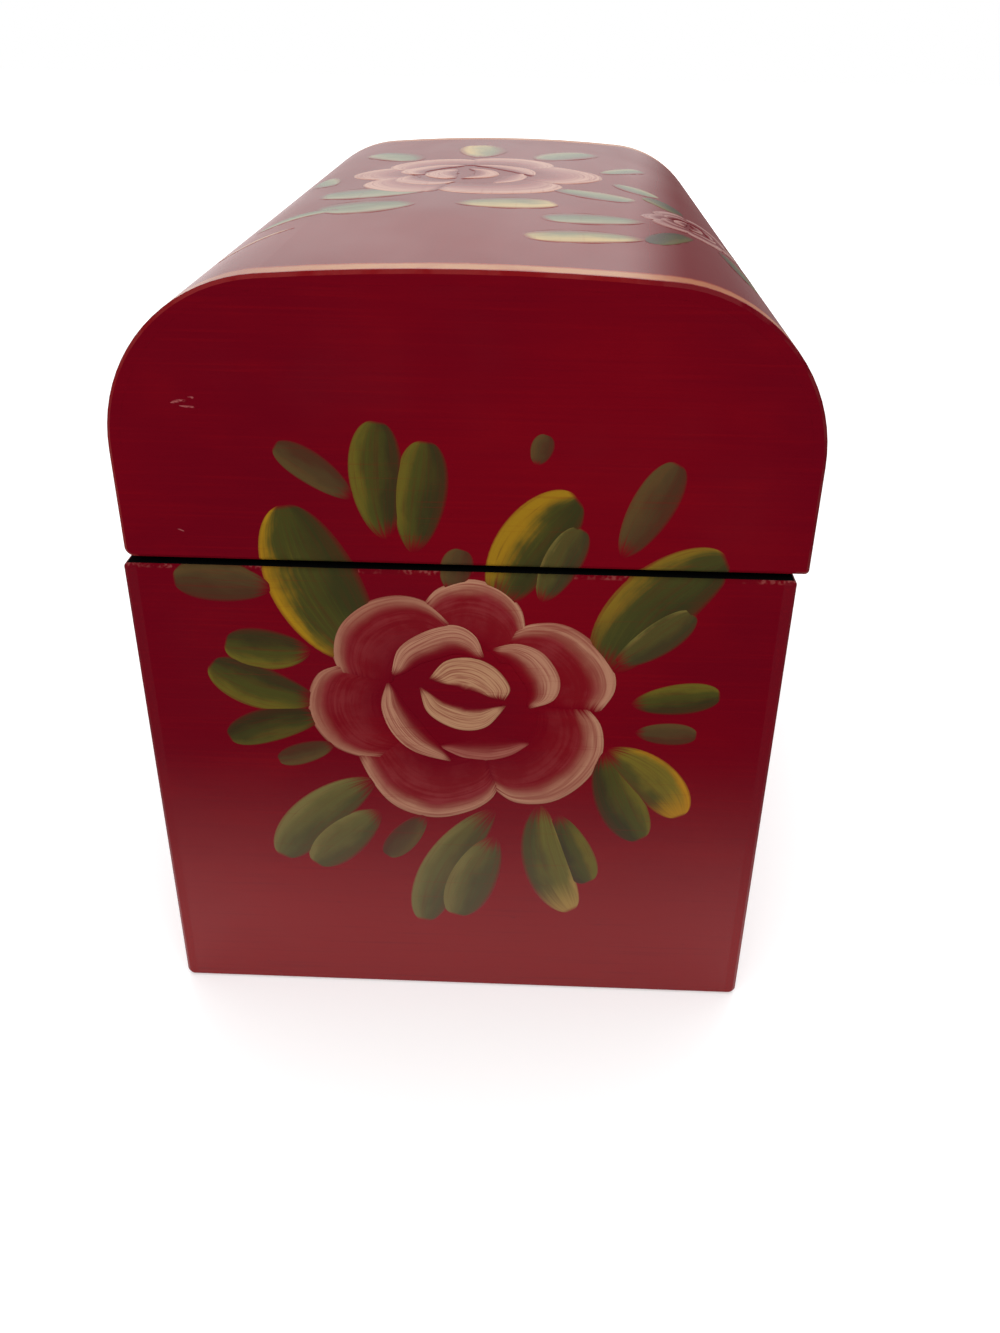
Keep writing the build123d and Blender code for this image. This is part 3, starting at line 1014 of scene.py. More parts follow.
def curve_through(points: Sequence[Point], count: int) -> np.ndarray:
    """A smooth curve through the points: between each pair, the cubic whose
    slopes at both ends are half the way from the point before to the one after.

    Args:
        points: At least two points in order.
        count: How many samples, evenly spaced in the curve's own length.

    Returns:
        The samples, count by 2.
    """
    p = np.asarray(points, float)
    before = np.vstack([2 * p[0] - p[1], p[:-1]])
    after = np.vstack([p[1:], 2 * p[-1] - p[-2]])
    slope = (after - before) / 2
    t = np.linspace(0, len(p) - 1 - 1e-9, 40 * len(p))
    i, s = t.astype(int), (t % 1)[:, None]
    cubic = (
        (2 * s**3 - 3 * s**2 + 1) * p[i]
        + (s**3 - 2 * s**2 + s) * slope[i]
        + (3 * s**2 - 2 * s**3) * p[i + 1]
        + (s**3 - s**2) * slope[i + 1]
    )
    steps = np.linalg.norm(np.diff(cubic, axis=0), axis=1)
    way = np.concatenate([[0], np.cumsum(steps)])
    even = np.linspace(0, way[-1], count)
    return np.stack([np.interp(even, way, cubic[:, k]) for k in (0, 1)], axis=-1)


@dataclass(frozen=True)
class Leaf:
    """A comma stroke: pressed down near its tip and lifted at its root.

    bow is how far the middle of the stroke stands to one side of the straight
    way from root to tip. On an end panel, seen from outside, a positive bow is
    to the right of that way and the light side is the left, unless flipped.
    """

    root: Point
    tip: Point
    width: float
    bow: float = 0.0
    paint: Palette = Palette.OLIVE
    flip: bool = False
    layer: int = 0
    belly: float = 1.3
    fullness: float = 0.44
    rows: int = 30
    columns: int = 12

    def grid(self) -> tuple[np.ndarray, np.ndarray, np.ndarray]:
        """The stroke as a grid: the middle line is the parabola through root,
        bowed middle and tip, and the half width is the product of the ways
        from both ends, raised to the fullness, with its widest place pushed
        towards the tip.

        Returns:
            The places (rows by columns by 2), and u and v of each.
        """
        root, tip = np.array(self.root), np.array(self.tip)
        way = tip - root
        left = np.array([-way[1], way[0]]) / np.linalg.norm(way)
        u = (1 - np.cos(np.linspace(0.02, 1, self.rows) * math.pi))[:, None] / 2
        v = np.linspace(0, 1, self.columns)[None, :]
        bowed = (4 * u * (1 - u) * self.bow)[..., None] * left
        middle = root + u[..., None] * way + bowed
        pushed = np.minimum(u, 0.9995) ** self.belly
        half = self.width / 2 * (4 * pushed * (1 - pushed)) ** self.fullness
        slope = way + (4 * (1 - 2 * u) * self.bow)[..., None] * left
        slope = slope / np.linalg.norm(slope, axis=-1, keepdims=True)
        across = np.stack([-slope[..., 1], slope[..., 0]], axis=-1)
        side = (2 * v - 1) * (-1 if self.flip else 1)
        places = middle + (half * side)[..., None] * across
        return places, u + 0 * v, v + 0 * u


@dataclass(frozen=True)
class Petal:
    """A petal: its loaded edge runs through the rim's points, and the stroke is
    drawn from there part of the way to the throat."""

    rim: tuple[Point, ...]
    throat: Point
    reach: float = 0.45
    paint: Palette = Palette.PETAL
    layer: int = 3
    lens: float = 0.1
    rows: int = 44
    columns: int = 14

    def grid(self) -> tuple[np.ndarray, np.ndarray, np.ndarray]:
        """The petal as a grid: each point is the rim's point moved towards the
        throat by v times reach of the way between them, and by less near the
        rim's ends, where 4u(1 - u) to the power lens tapers it.

        Returns:
            The places (rows by columns by 2), and u and v of each.
        """
        edge = curve_through(self.rim, self.rows)[:, None, :]
        u = np.linspace(0, 1, self.rows)[:, None]
        v = np.linspace(0, 1, self.columns)[None, :]
        shorter = np.maximum(4 * u * (1 - u), 0.02) ** self.lens
        share = (v * self.reach * shorter)[..., None]
        return edge + (np.array(self.throat) - edge) * share, u + 0 * v, v + 0 * u


Stroke = Leaf | Petal


@dataclass(frozen=True)
class Placing:
    """Where a bouquet lies on its panel: moved, grown and turned over."""

    centre: Point = (0.0, 0.0)
    size: float = 1.0
    turned: float = 0.0
    mirror: bool = False

    def __call__(self, places: np.ndarray) -> np.ndarray:
        """The points turned over, turned, grown and moved, in that order.

        Args:
            places: The points, with their two places last.

        Returns:
            The placed points.
        """
        flipped = places * np.array([-1.0 if self.mirror else 1.0, 1.0])
        c, s = math.cos(self.turned), math.sin(self.turned)
        return flipped @ np.array([[c, s], [-s, c]]) * self.size + np.array(self.centre)


def closed_slab(top: np.ndarray, bottom: np.ndarray) -> tuple[np.ndarray, np.ndarray]:
    """A closed solid between two grids of the same border.

    Args:
        top: Points of the upper grid, rows by columns by 3.
        bottom: Points of the lower grid.

    Returns:
        Its points and its quads: both grids, the lower one turned over, and a
        wall along the border.
    """
    rows, columns = top.shape[:2]
    index = np.arange(rows * columns).reshape(rows, columns)
    corners = [index[:-1, :-1], index[:-1, 1:], index[1:, 1:], index[1:, :-1]]
    quads = np.stack(corners, axis=-1).reshape(-1, 4)
    border = [index[0, :-1], index[:-1, -1], index[-1, :0:-1], index[:0:-1, 0]]
    ring = np.concatenate(border)
    following = np.roll(ring, -1)
    size = rows * columns
    walls = np.stack([ring, ring + size, following + size, following], axis=-1)
    points = np.vstack([top.reshape(-1, 3), bottom.reshape(-1, 3)])
    return points, np.vstack([quads, quads[:, ::-1] + size, walls])


@dataclass
class Painting:
    """Brush strokes on one surface, as thin closed sheets of paint that lie on
    it, on one or two bodies with a seam between them."""

    name: str
    surface: Surface
    strokes: Sequence[Stroke]
    bodies: tuple[str, ...]
    box: "PaintBox"
    placing: Placing = field(default_factory=Placing)
    thickness: float = 0.045
    step: float = 0.01
    sunk: float = 0.03
    round_along: float = 14.0
    round_across: float = 9.0

    def _sheet(self, stroke: Stroke, number: int) -> dict[str, np.ndarray]:
        """One stroke as a closed sheet: the top stands off the surface by the
        paint's thickness, rounded down to under the surface at its border, and
        the bottom lies under the surface.

        Args:
            stroke: The stroke.
            number: Its number in the painting.

        Returns:
            Its vertices, faces, map and seed.
        """
        places, u, v = stroke.grid()
        placed = self.placing(places)
        lift = self.thickness + self.step * stroke.layer
        along = np.minimum(u, 1 - u) * self.round_along
        across = np.minimum(v, 1 - v) * self.round_across
        border = np.clip(np.minimum(along, across), 0, 1)
        height = (lift + self.sunk) * np.sqrt(1 - (1 - border) ** 2) - self.sunk
        a, b = placed[..., 0], placed[..., 1]
        top = self.surface(a, b, height)
        below = self.surface(a, b, np.full_like(u, -2 * self.sunk))
        points, faces = closed_slab(top, below)
        plain = np.stack([u, v], axis=-1).reshape(-1, 2)
        return {
            "points": points,
            "faces": faces,
            "map": np.vstack([plain, plain]),
            "seed": np.full(len(points), float(number)),
            "paint": np.full(len(faces), self.box.number(stroke.paint)),
        }

    def build(self) -> list[Piece]:
        """Makes the painting's objects, one for each body.

        Returns:
            The objects.
        """
        sheets = [self._sheet(s, n) for n, s in enumerate(self.strokes)]
        offset = np.cumsum([0] + [len(s["points"]) for s in sheets[:-1]])
        faces = np.vstack([s["faces"] + o for s, o in zip(sheets, offset)])
        names = ("points", "map", "seed", "paint")
        joined = {k: np.concatenate([s[k] for s in sheets]) for k in names}
        made = []
        for body in self.bodies:
            piece = mesh_object(f"{self.name}_{body}", joined["points"], faces)
            write_stroke_data(piece, joined, self.box)
            self._trim(piece, body)
            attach(piece, body)
            made.append(piece)
        return made

    def _trim(self, piece: Piece, body: str) -> None:
        """Cuts the painting at the seam where it has two bodies, closes the cut
        and turns every face outwards.

        Args:
            piece: The whole painting.
            body: The body whose part it keeps.
        """
        mesh = bmesh.new()
        mesh.from_mesh(piece.data)
        bmesh.ops.recalc_face_normals(mesh, faces=mesh.faces[:])
        if len(self.bodies) > 1:
            cut_at_seam(mesh, body == "base")
        mesh.to_mesh(piece.data)
        mesh.free()


def cut_at_seam(mesh: bmesh.types.BMesh, lower: bool) -> None:
    """Keeps a painting's part under or over the seam, closes the cut, and lets
    it follow the small bevel there: past the bevel's start a point falls back
    towards the panel's middle by as much as it is past.

    Args:
        mesh: The painting on an end panel.
        lower: Whether the part under the seam is kept.
    """
    rim = (RIM_TOP if lower else LID_RIM) * METRE
    start = (RIM_TOP - ARRIS if lower else LID_RIM + ARRIS) * METRE
    for height, drop in ((rim, True), (start, False)):
        bmesh.ops.bisect_plane(
            mesh,
            geom=mesh.verts[:] + mesh.edges[:] + mesh.faces[:],
            dist=1e-8,
            plane_co=(0, 0, height),
            plane_no=(0, 0, 1),
            clear_outer=drop and lower,
            clear_inner=drop and not lower,
        )
        if drop:
            open_edges = [e for e in mesh.edges if e.is_boundary]
            bmesh.ops.holes_fill(mesh, edges=open_edges, sides=0)
    for vertex in mesh.verts:
        past = max((vertex.co.z - start) * (1 if lower else -1), 0.0)
        vertex.co.x -= math.copysign(past, vertex.co.x)


class PaintBox:
    """The paints of one painting, each made once over that painting's ground
    and only where a stroke uses it."""

    def __init__(self, ground: Lacquer, name: str) -> None:
        """Starts with no paint.

        Args:
            ground: The lacquer under the paint.
            name: The ground's name, which the materials carry.
        """
        self.ground = ground
        self.name = name
        self.made: dict[Palette, Material] = {}

    def number(self, paint: Palette) -> int:
        """The place of a paint among the materials of the painting.

        Args:
            paint: The paint, which is made here if it is new.

        Returns:
            Its place.
        """
        if paint not in self.made:
            over = replace(paint.value, under=self.ground)
            self.made[paint] = over.build(f"{self.name}_{paint.name.lower()}")
        return list(self.made).index(paint)


def mesh_object(name: str, points: np.ndarray, faces: np.ndarray) -> Piece:
    """A smooth mesh object from millimetre points.

    Args:
        name: The piece's name.
        points: Vertices in millimetres, n by 3.
        faces: Corner numbers, m by 3 or 4.

    Returns:
        The object, at the origin and linked to the scene.
    """
    data = bpy.data.meshes.new(name)
    data.from_pydata((points * METRE).tolist(), [], faces.tolist())
    data.polygons.foreach_set("use_smooth", np.ones(len(data.polygons), bool))
    data.update()
    piece = bpy.data.objects.new(name, data)
    bpy.context.scene.collection.objects.link(piece)
    return piece


def write_stroke_data(
    piece: Piece, joined: dict[str, np.ndarray], box: PaintBox
) -> None:
    """Writes the stroke map, the seed and the paint of each face.

    Args:
        piece: The painting's object.
        joined: The map, seed and paint of all its strokes.
        box: The paints.
    """
    data = piece.data
    corners = np.zeros(len(data.loops), np.int32)
    data.loops.foreach_get("vertex_index", corners)
    layer = data.uv_layers.new(name="stroke")
    layer.data.foreach_set("uv", joined["map"][corners].astype(np.float32).ravel())
    seed = data.attributes.new("stroke_seed", "FLOAT", "POINT")
    seed.data.foreach_set("value", joined["seed"].astype(np.float32))
    for material in box.made.values():
        data.materials.append(material)
    data.polygons.foreach_set("material_index", joined["paint"].astype(np.int32))


# The flowers and leaves, in millimetres on the left end, from its middle and foot

ROSE_HEART: Point = (-1.0, 92.0)

END_LEAVES: tuple[Leaf, ...] = (
    Leaf((23.0, 143.2), (39.3, 154.8), 8.0, 0.5, Palette.DIM),
    Leaf((15.8, 133.6), (17.0, 160.8), 12.8, -1.2, Palette.OLIVE),
    Leaf((10.2, 130.6), (6.8, 156.7), 12.6, 0.3, Palette.OLIVE, layer=1),
    Leaf((21.5, 103.2), (38.3, 141.5), 23.0, -2.6, Palette.YELLOW, False, 0, 1.0, 0.5),
    Leaf((42.5, 120.8), (65.0, 122.5), 11.0, 0.5, Palette.DIM, True),
    Leaf((34.0, 91.5), (58.8, 100.8), 13.0, -2.0, Palette.OLIVE),
    Leaf((34.5, 105.0), (54.8, 106.6), 11.8, -1.0, Palette.OLIVE, layer=1),
    Leaf((33.0, 86.8), (56.5, 79.8), 10.4, 1.0, Palette.DARK),
    Leaf((30.5, 78.8), (44.8, 73.6), 6.6, 0.0, Palette.DIM),
    Leaf((21.0, 68.5), (46.0, 43.2), 14.0, 2.5, Palette.SAGE, True),
    Leaf((20.0, 59.0), (37.5, 41.2), 12.6, 0.5, Palette.SAGE, True, 1),
    Leaf((8.5, 58.0), (18.8, 44.6), 8.0, 0.0, Palette.DIM),
    Leaf((-9.0, 60.5), (9.5, 22.8), 13.2, 3.0, Palette.SAGE, True),
    Leaf((-9.2, 52.0), (1.0, 25.2), 14.0, 0.5, Palette.SAGE, True, 1),
    Leaf((-25.0, 59.5), (-34.0, 38.0), 11.5, 1.0, Palette.OLIVE),
    Leaf((-20.5, 62.5), (-29.8, 28.0), 13.0, 3.0, Palette.CREAM_TIP, layer=1),
    Leaf((-35.5, 79.0), (-46.5, 52.5), 13.0, 1.5, Palette.OLIVE),
    Leaf((-36.0, 79.5), (-55.5, 60.0), 13.0, -2.5, Palette.GOLD_TIP, layer=1),
    Leaf((-41.0, 92.8), (-62.0, 96.0), 9.2, 0.0, Palette.OLIVE),
    Leaf((-42.5, 84.8), (-57.5, 84.6), 6.8, 0.0, Palette.DIM),
    Leaf((-34.5, 101.5), (-60.0, 131.0), 19.5, -4.0, Palette.MOSS, belly=0.95),
    Leaf((-36.5, 103.5), (-53.8, 117.5), 9.6, 0.5, Palette.PALE, layer=1),
    Leaf((-36.5, 130.8), (-47.2, 153.0), 10.6, 0.0, Palette.DIM),
    Leaf((-9.5, 118.0), (-26.3, 144.6), 16.8, -2.5, Palette.GOLDEN, belly=1.15),
    Leaf((-19.0, 119.3), (-27.5, 137.5), 9.8, -0.5, Palette.PALE, layer=1),
    Leaf((2.0, 121.5), (-1.0, 131.8), 8.0, 0.0, Palette.DIM),
    Leaf((-16.8, 151.8), (-19.0, 158.6), 5.4, 0.0, Palette.DIM),
)

END_ROSE: tuple[Petal, ...] = (
    Petal(
        ((8.2, 118.2), (4.5, 122.4), (-2.5, 124.9), (-9.5, 123.0),
         (-14.4, 118.0), (-16.0, 111.0)),
        (-1.0, 92.0), 0.52, Palette.PETAL, 3,
    ),
    Petal(
        ((-12.0, 111.4), (-17.5, 113.9), (-24.5, 113.9), (-31.0, 110.0),
         (-36.4, 103.0), (-37.4, 96.5), (-34.0, 90.0)),
        (-4.0, 92.0), 0.55, Palette.PETAL_WIDE, 4,
    ),
    Petal(
        ((-30.8, 91.8), (-34.8, 86.0), (-35.3, 77.5), (-31.0, 69.0),
         (-23.5, 63.2), (-14.5, 62.6), (-8.0, 67.0)),
        (-3.0, 91.0), 0.55, Palette.PETAL_WIDE, 5,
    ),
    Petal(
        ((25.5, 76.8), (22.2, 68.5), (18.0, 62.0), (12.5, 58.4), (5.0, 57.2),
         (-3.0, 59.6), (-8.2, 63.6), (-10.4, 68.8)),
        (0.0, 91.0), 0.56, Palette.PETAL, 6,
    ),
    Petal(
        ((27.0, 101.8), (33.4, 99.0), (36.4, 92.5), (36.0, 85.5),
         (31.8, 78.8), (25.5, 75.5), (18.0, 75.0)),
        (3.0, 91.0), 0.58, Palette.PETAL_SOFT, 7,
    ),
    Petal(
        ((27.6, 97.5), (29.8, 104.5), (28.0, 112.0), (22.0, 117.8),
         (14.5, 120.2), (7.5, 118.8), (1.5, 113.2)),
        (1.0, 94.0), 0.56, Palette.PETAL_SOFT, 8,
    ),
    Petal(
        ((5.2, 79.2), (-1.0, 76.0), (-7.5, 75.2), (-13.0, 77.0),
         (-17.8, 81.0)),
        (-5.0, 92.0), 0.42, Palette.PETAL_DIM, 7, 0.7,
    ),
    Petal(
        ((17.0, 97.5), (19.0, 90.0), (16.6, 82.3), (11.0, 77.0), (1.5, 74.6)),
        (1.0, 92.0), 0.46, Palette.PETAL_INNER, 9, 0.7,
    ),
    Petal(
        ((-7.6, 107.0), (-14.0, 108.6), (-20.3, 106.2), (-24.4, 99.5),
         (-23.2, 93.5), (-17.0, 90.6)),
        (-6.0, 96.0), 0.52, Palette.PETAL_INNER, 9, 0.6,
    ),
    Petal(
        ((16.2, 98.6), (14.4, 106.4), (8.0, 111.4), (1.0, 113.2),
         (-4.0, 110.4), (-6.2, 104.4)),
        (2.0, 97.0), 0.55, Palette.PETAL_INNER, 10, 0.5,
    ),
    Petal(
        ((7.2, 98.2), (3.0, 103.3), (-3.5, 104.3), (-9.0, 101.6),
         (-12.4, 96.4), (-11.0, 92.6)),
        (-1.0, 94.5), 0.95, Palette.BUD, 12, 0.3,
    ),
    Petal(
        ((9.4, 96.0), (7.4, 88.6), (0.5, 84.2), (-6.5, 85.0), (-11.6, 91.4)),
        (-1.5, 97.0), 0.55, Palette.BUD, 11, 0.7,
    ),
)

SCRATCHES: tuple[Leaf, ...] = (
    Leaf((60.4, 163.6), (55.2, 164.9), 1.3, 0.1, Palette.SCRATCH, rows=12, columns=6),
    Leaf((58.6, 163.0), (54.4, 162.7), 0.7, 0.05, Palette.SCRATCH, rows=12, columns=6),
    Leaf((62.6, 135.1), (60.9, 134.4), 0.5, 0.0, Palette.SCRATCH, rows=12, columns=6),
)

# On the lid the first place goes over the dome and the second along it

LID_LEAVES: tuple[Leaf, ...] = (
    Leaf((17.0, -15.0), (47.0, -20.0), 21.0, 0.0, Palette.TOP_GREEN),
    Leaf((18.0, -38.0), (42.0, -48.0), 22.0, 1.0, Palette.TOP_GREEN),
    Leaf((36.0, -44.0), (56.0, -60.0), 8.0, 1.0, Palette.TOP_GREEN),
    Leaf((44.0, -70.0), (60.0, -88.0), 2.6, 0.5, Palette.TOP_CREAM),
    Leaf((8.0, -38.0), (-19.0, -34.0), 20.0, 1.0, Palette.TOP_YELLOW, True),
    Leaf((-18.0, -8.0), (-40.0, -22.0), 15.0, 0.0, Palette.TOP_GREEN),
    Leaf((-41.0, -54.0), (-15.0, -60.0), 17.0, 1.0, Palette.TOP_GREEN),
    Leaf((-39.0, -79.0), (-11.0, -86.0), 17.0, 1.0, Palette.TOP_YELLOW),
    Leaf((-36.0, 12.0), (-47.0, -8.0), 9.0, 0.0, Palette.TOP_GREEN),
    Leaf((47.0, 4.0), (55.0, 30.0), 10.0, 0.0, Palette.TOP_GREEN, True),
    Leaf((28.0, 52.0), (44.0, 80.0), 18.0, 2.0, Palette.TOP_GREEN),
    Leaf((7.0, 60.0), (9.0, 98.0), 18.0, 2.0, Palette.TOP_YELLOW),
    Leaf((-14.0, 56.0), (-32.0, 84.0), 18.0, -2.0, Palette.TOP_GREEN),
    Leaf((-33.0, 32.0), (-47.0, 52.0), 10.0, 0.0, Palette.TOP_GREEN),
)

SIDE_LEAVES: tuple[Leaf, ...] = (
    Leaf((-52.0, -62.0), (-41.0, -84.0), 9.0, 1.5, Palette.DARK),
    Leaf((-60.0, -60.0), (-66.0, -84.0), 9.5, -1.5, Palette.OLIVE),
    Leaf((-52.0, -30.0), (-44.0, -10.0), 8.5, 1.0, Palette.OLIVE),
    Leaf((-66.0, -36.0), (-80.0, -20.0), 9.5, 1.0, Palette.OLIVE),
    Leaf((-68.0, -52.0), (-86.0, -62.0), 9.5, 1.0, Palette.YELLOW),
)

LID_ROSE = Placing((7.0, 19.0), 1.12, math.radians(-75.0), True)
SIDE_ROSE = Placing((-54.0, -44.0), 0.42, math.radians(-95.0), False)


def moved(
    strokes: Iterable[Petal], placing: Placing, paints: dict[Palette, Palette]
) -> list[Petal]:
    """The end's rose at another place, in other paints where they are named.

    Args:
        strokes: The petals, about the heart of the end's rose.
        placing: Where the heart goes, and the size and turn about it.
        paints: The new paint by the old one.

    Returns:
        The placed petals.
    """
    heart = np.array(ROSE_HEART)

    def place(points: Sequence[Point]) -> list[Point]:
        """Each point about the heart, placed."""
        return [tuple(p) for p in placing(np.array(points) - heart)]

    return [
        Petal(
            tuple(place(s.rim)),
            place([s.throat])[0],
            s.reach,
            paints.get(s.paint, s.paint),
            s.layer,
            s.lens,
        )
        for s in strokes
    ]


# Fasteners that replace the plain ones

@dataclass(frozen=True)
class Fastener:
    """A screw, tack, rivet or stud: a low domed head, with a slot if it is a
    screw, on a round shank. It stands on local Z zero with its head up."""

    head_radius: float
    head_height: float
    shank_radius: float
    length: float
    slot_width: float = 0.0
    slot_depth: float = 0.0

    def head(self) -> tuple[np.ndarray, np.ndarray]:
        """The head: over a disc cut in strips along the slot, the height is
        that of a low ellipsoid, raised to a power for a full edge, less the
        slot's depth where the strip lies in the slot.

        Returns:
            Its points and its quads.
        """
        half_slot = self.slot_width / 2
        turn = np.linspace(0.03, math.pi / 2 - 0.03, 7)
        outer = self.head_radius * np.cos(turn)
        outer = outer[outer > half_slot * 1.15]
        inner = np.array([half_slot, half_slot * 0.98]) if half_slot else np.zeros(0)
        positive = np.concatenate([outer, inner])
        strips = np.concatenate([positive, [0.0], -positive[::-1]])[:, None]
        along = np.sin(np.linspace(-1, 1, 15) * math.pi / 2)[None, :]
        other = along * np.sqrt(np.maximum(self.head_radius**2 - strips**2, 0.0))
        share = np.minimum((strips**2 + other**2) / self.head_radius**2, 1.0)
        height = self.head_height * (0.3 + 0.7 * (1 - share**1.6))
        in_slot = np.abs(strips) < half_slot * 0.99
        height = height - np.where(in_slot, self.slot_depth, 0.0)
        flat = strips + 0 * other
        top = np.stack([flat, other, np.maximum(height, 0.02)], axis=-1)
        bottom = np.stack([flat, other, np.zeros_like(other)], axis=-1)
        return closed_slab(top, bottom)

    def shank(self) -> tuple[np.ndarray, np.ndarray]:
        """The shank: a circle of its radius at each depth, drawn in to a short
        point at the end and closed across the top.

        Returns:
            Its points and its quads.
        """
        around = np.linspace(0, 2 * math.pi, 24, endpoint=False)[None, :]
        radius = self.shank_radius * np.array([0.0, 1.0, 1.0, 0.35, 0.0])[:, None]
        tip = min(self.length * 0.15, self.shank_radius * 1.4)
        top = self.head_height * 0.02
        depths = [top, top, tip - self.length, -self.length, -self.length]
        depth = np.array(depths)[:, None] + 0 * around
        x, y = radius * np.cos(around), radius * np.sin(around)
        points = np.stack([x, y, depth], axis=-1)
        rows, columns = points.shape[:2]
        index = np.arange(rows * columns).reshape(rows, columns)
        after = np.roll(index, -1, axis=1)
        faces = np.stack([index[:-1], index[1:], after[1:], after[:-1]], axis=-1)
        return points.reshape(-1, 3), faces.reshape(-1, 4)


class Facing(Enum):
    """Which way a fastener's head faces, as the rows that turn its own axes."""

    UP = ((1, 0, 0), (0, 1, 0), (0, 0, 1))
    DOWN = ((1, 0, 0), (0, -1, 0), (0, 0, -1))
    FRONT = ((1, 0, 0), (0, 0, -1), (0, 1, 0))


@dataclass
class FastenerSet:
    """Fasteners of one kind, which replace a node and ride on its body."""

    node: str
    kind: Fastener
    places: Sequence[Place]
    facing: Facing

    def turn(self, number: int) -> np.ndarray:
        """The turn of one fastener: about its own axis by an angle that grows
        with its number, so that no two slots agree, and then to its facing.

        Args:
            number: Its place in the set.

        Returns:
            The turn, 3 by 3.
        """
        angle = 0.5 + 1.9 * number
        c, s = math.cos(angle), math.sin(angle)
        about = np.array([[c, -s, 0], [s, c, 0], [0, 0, 1]])
        return np.array(self.facing.value) @ about

    def build(self) -> list[Piece]:
        """Makes the set as one object in place of its node.

        Returns:
            The object, in a list.
        """
        points, faces, count = [], [], 0
        for number, place in enumerate(self.places):
            for part_points, part_faces in (self.kind.head(), self.kind.shank()):
                points.append(part_points @ self.turn(number).T + np.array(place))
                faces.append(part_faces + count)
                count += len(part_points)
        piece = mesh_object(f"{self.node}_domed", np.vstack(points), np.vstack(faces))
        merge_and_turn_out(piece)
        piece.data.materials.append(MADE_FINISHES.get(Finish.BRASS))
        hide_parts(self.node)
        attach(piece, body_of(frame["nodes"][self.node])[0])
        small = "screws" in self.node or "tacks" in self.node
        return [piece]


def merge_and_turn_out(piece: Piece) -> None:
    """Merges a mesh's doubles, drops its empty faces and turns the rest out.

    Args:
        piece: The mesh object, which is changed.
    """
    mesh = bmesh.new()
    mesh.from_mesh(piece.data)
    bmesh.ops.remove_doubles(mesh, verts=mesh.verts[:], dist=2e-7)
    bmesh.ops.dissolve_degenerate(mesh, edges=mesh.edges[:], dist=1e-8)
    bmesh.ops.recalc_face_normals(mesh, faces=mesh.faces[:])
    for edge in mesh.edges:
        edge.smooth = edge.calc_face_angle(0.0) < math.radians(38)
    mesh.to_mesh(piece.data)
    mesh.free()


# Finishes by node

FINISH_OF_NODE: dict[str, Finish] = {
    "base_left_board": Finish.END_BOARD,
    "base_right_board": Finish.END_BOARD,
    "lid_left_board": Finish.END_BOARD,
    "lid_right_board": Finish.END_BOARD,
    "base_front_board": Finish.LONG_BOARD,
    "base_back_board": Finish.LONG_BOARD,
    "lid_skin": Finish.SKIN,
    "base_floor": Finish.BLACK,
    "lid_front_rail": Finish.BLACK,
    "lid_back_rail": Finish.BLACK,
    "rest_pads": Finish.RUBBER,
}


@dataclass
class CarriedSolids:
    """The solids that keep their own shape and get a finish here."""

    finish_of_node: dict[str, Finish] = field(default_factory=lambda: FINISH_OF_NODE)

    def finish_for(self, node: str) -> Finish:
        """The finish of a node.

        Args:
            node: The node's name.

        Returns:
            Its own finish, felt for a lining, and else brass.
        """
        if node in self.finish_of_node:
            return self.finish_of_node[node]
        return Finish.FELT if node.endswith("lining") else Finish.BRASS

    def dress(self, nodes: dict[str, Piece]) -> None:
        """Gives every node its finish.

        Args:
            nodes: The frame's nodes by name.
        """
        for name, piece in nodes.items():
            finish = self.finish_for(name)
            if not piece.material_slots:
                piece.data.materials.append(MADE_FINISHES.get(finish))
            for slot in piece.material_slots:
                slot.material = MADE_FINISHES.get(finish)
            LOG.info("%s finished with %s", name, finish.name.lower())


# Stage, light and camera

@dataclass(frozen=True)
class Lamp:
    """A square soft lamp that faces the chest's middle."""

    name: str
    place: Place
    size: float
    watts: float
    target: Place = (0.0, 0.0, 0.1)

    def build(self) -> None:
        """Adds the lamp to the scene."""
        lamp = bpy.data.lights.new(self.name, "AREA")
        lamp.energy = self.watts
        lamp.size = self.size
        holder = bpy.data.objects.new(self.name, lamp)
        holder.location = self.place
        way = Vector(self.target) - Vector(self.place)
        holder.rotation_euler = way.to_track_quat("-Z", "Y").to_euler()
        bpy.context.scene.collection.objects.link(holder)


